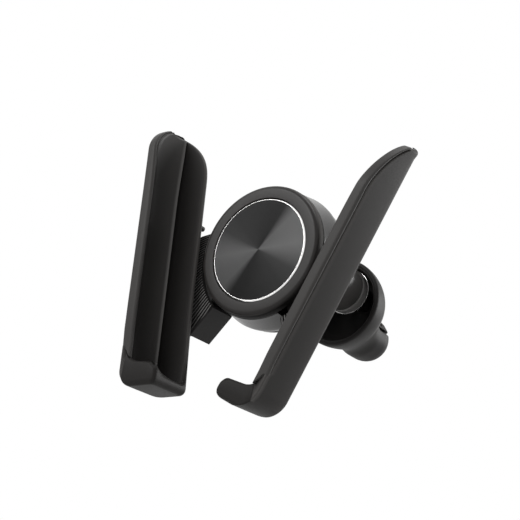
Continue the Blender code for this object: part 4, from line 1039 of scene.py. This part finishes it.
def jawDistance(x, y, z):
    c = clip
    share = unit((y - c["lobeStart"]) / (c["lobeFull"] - c["lobeStart"]))
    radius = c["lobeRoot"] + (c["lobe"] - c["lobeRoot"]) * smoothStep(share)
    behind = max(y - c["lobeY"], 0.0)
    fromLobe = math.sqrt(x * x + (z - c["lobeZ"]) ** 2 + behind * behind) - radius
    return -smoothUnion(-fromLobe, -(z - c["lowerFace"]), c["faceEdge"])


def surfaceAlong(origin, direction):
    # where a ray from inside leaves the body
    low, high = 0.0, clip["searchReach"]
    for i in range(clipSteps["search"]):
        middle = (low + high) / 2
        x, y, z = origin + direction * middle
        if smoothUnion(bellDistance(x, y, z), jawDistance(x, y, z), clip["blend"]) < 0:
            low = middle
        else:
            high = middle
    return origin + direction * low


def bellCircle(radius, y):
    turns = [math.tau * k / clipSteps["around"] for k in range(clipSteps["around"])]
    return [Vector((radius * math.cos(turn), y, clip["bellZ"] + radius * math.sin(turn))) for turn in turns]


def bellRings():
    # from the lobe's rear end to the mouth, over the lip and down the hollow
    c, s = clip, clipSteps
    origin = Vector((0, c["startY"], c["startZ"]))
    rings = [[] for i in range(s["along"])]
    for rim in bellCircle(c["bell"], c["mouth"]):
        last = (rim - origin).normalized()
        first = Vector((0, 1, 0))
        whole = first.angle(last)
        axis = first.cross(last).normalized()
        for i in range(s["along"]):
            direction = first.copy()
            direction.rotate(Matrix.Rotation(whole * (i + 0.5) / (s["along"] - 0.5), 3, axis))
            rings[i].append(surfaceAlong(origin, direction))
    rings[-1] = bellCircle(c["bell"], c["mouth"])
    half = c["wall"] / 2
    middle = c["bell"] - half
    for i in range(1, s["lip"]):
        angle = math.radians(180 * i / s["lip"])
        rings.append(bellCircle(middle + half * math.cos(angle), c["mouth"] - c["lip"] * math.sin(angle)))
    inner = c["bell"] - c["wall"]
    for i in range(s["hollow"]):
        angle = math.radians(c["hollowEndDeg"] * i / (s["hollow"] - 1))
        y = c["mouth"] + (c["depth"] - c["wall"]) * math.sin(angle)
        rings.append(bellCircle(inner * math.cos(angle), y))
    return rings


def bellPaintedLight(x, y, z):
    # painted light: the hollow is paler on the side that faces the nut's edge
    c = clip
    reach = c["bell"] - c["wall"] + 0.2 * mm
    up = z - c["bellZ"]
    if y >= c["lightTo"] or math.hypot(x, up) >= reach:
        return 0.0
    return c["lightShare"] * unit((0.8 * x + 0.6 * up) / reach) ** c["lightPower"]


def buildBell():
    shape = swept(bellRings())
    # painted light on the lit side of the hollow
    markPaintedLight(shape, bellPaintedLight)
    piece("clipBell", shape, bellPlastic, "clip", ["clip_body"], 60)


def buildLug():
    c = clip
    lug = bmesh.new()
    root = c["lowerFace"] - c["lugSunk"]
    outline = [(c["pinY"] + y, c["pinZ"] + z) for y, z in arcPoints((0, 0), c["lug"], 0, 180, 16)]
    outline += [(c["pinY"] - c["lug"], root), (c["pinY"] + c["lug"], root)]
    face = lug.faces.new([lug.verts.new((-c["lugHalf"], y, z)) for y, z in outline])
    grown = bmesh.ops.extrude_face_region(lug, geom=[face])["geom"]
    moved = [item for item in grown if isinstance(item, bmesh.types.BMVert)]
    bmesh.ops.translate(lug, verts=moved, vec=(2 * c["lugHalf"], 0, 0))
    bmesh.ops.recalc_face_normals(lug, faces=lug.faces)
    bmesh.ops.bevel(lug, geom=[edge for edge in lug.edges if edge.calc_face_angle(0) > 1], offset=0.15 * mm,
                    segments=2, affect="EDGES")
    piece("clipLug", lug, clipPlastic, "clip", ())


def buildBoss():
    # the stud's boss on the floor of the bell's hollow
    c = clip
    off = neck["z"] - c["bellZ"]
    inner = c["bell"] - c["wall"]
    floorY = c["mouth"] + (c["depth"] - c["wall"]) * math.sqrt(1 - (off / inner) ** 2)
    front = floorY - c["bossFloor"] - c["bossLength"]
    rear = floorY + c["bossSunk"]
    boss = rounded([(c["stud"], front, 0.1 * mm), (c["boss"], front, 0.4 * mm), (c["boss"], rear, 0),
                    (c["stud"], rear, 0)], 4, closed=True)
    piece("studBoss", spun(boss, 64, (0, neck["z"]), closed=True), clipPlastic, "clip", ())


buildBell()
buildLug()
buildBoss()
print("clip built")

# finishes for CAD nodes that keep their own shape
cadFinishes = {
    "left_wing": wingFinishes["left"], "right_wing": wingFinishes["right"], "ball_stud": innerPlastic,
    "front_ball_seat": innerPlastic, "rear_ball_seat": innerPlastic,
    "upper_jaw_pad": padRubber, "lower_jaw_pad": padRubber, "jaw_pin": screwSteel,
    "upper_jaw": clipPlastic,
}


def dressNodes():
    for name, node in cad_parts.items():
        node.data.materials.clear()
        node.data.materials.append(cadFinishes.get(name, screwSteel))


dressNodes()
print("CAD nodes dressed")
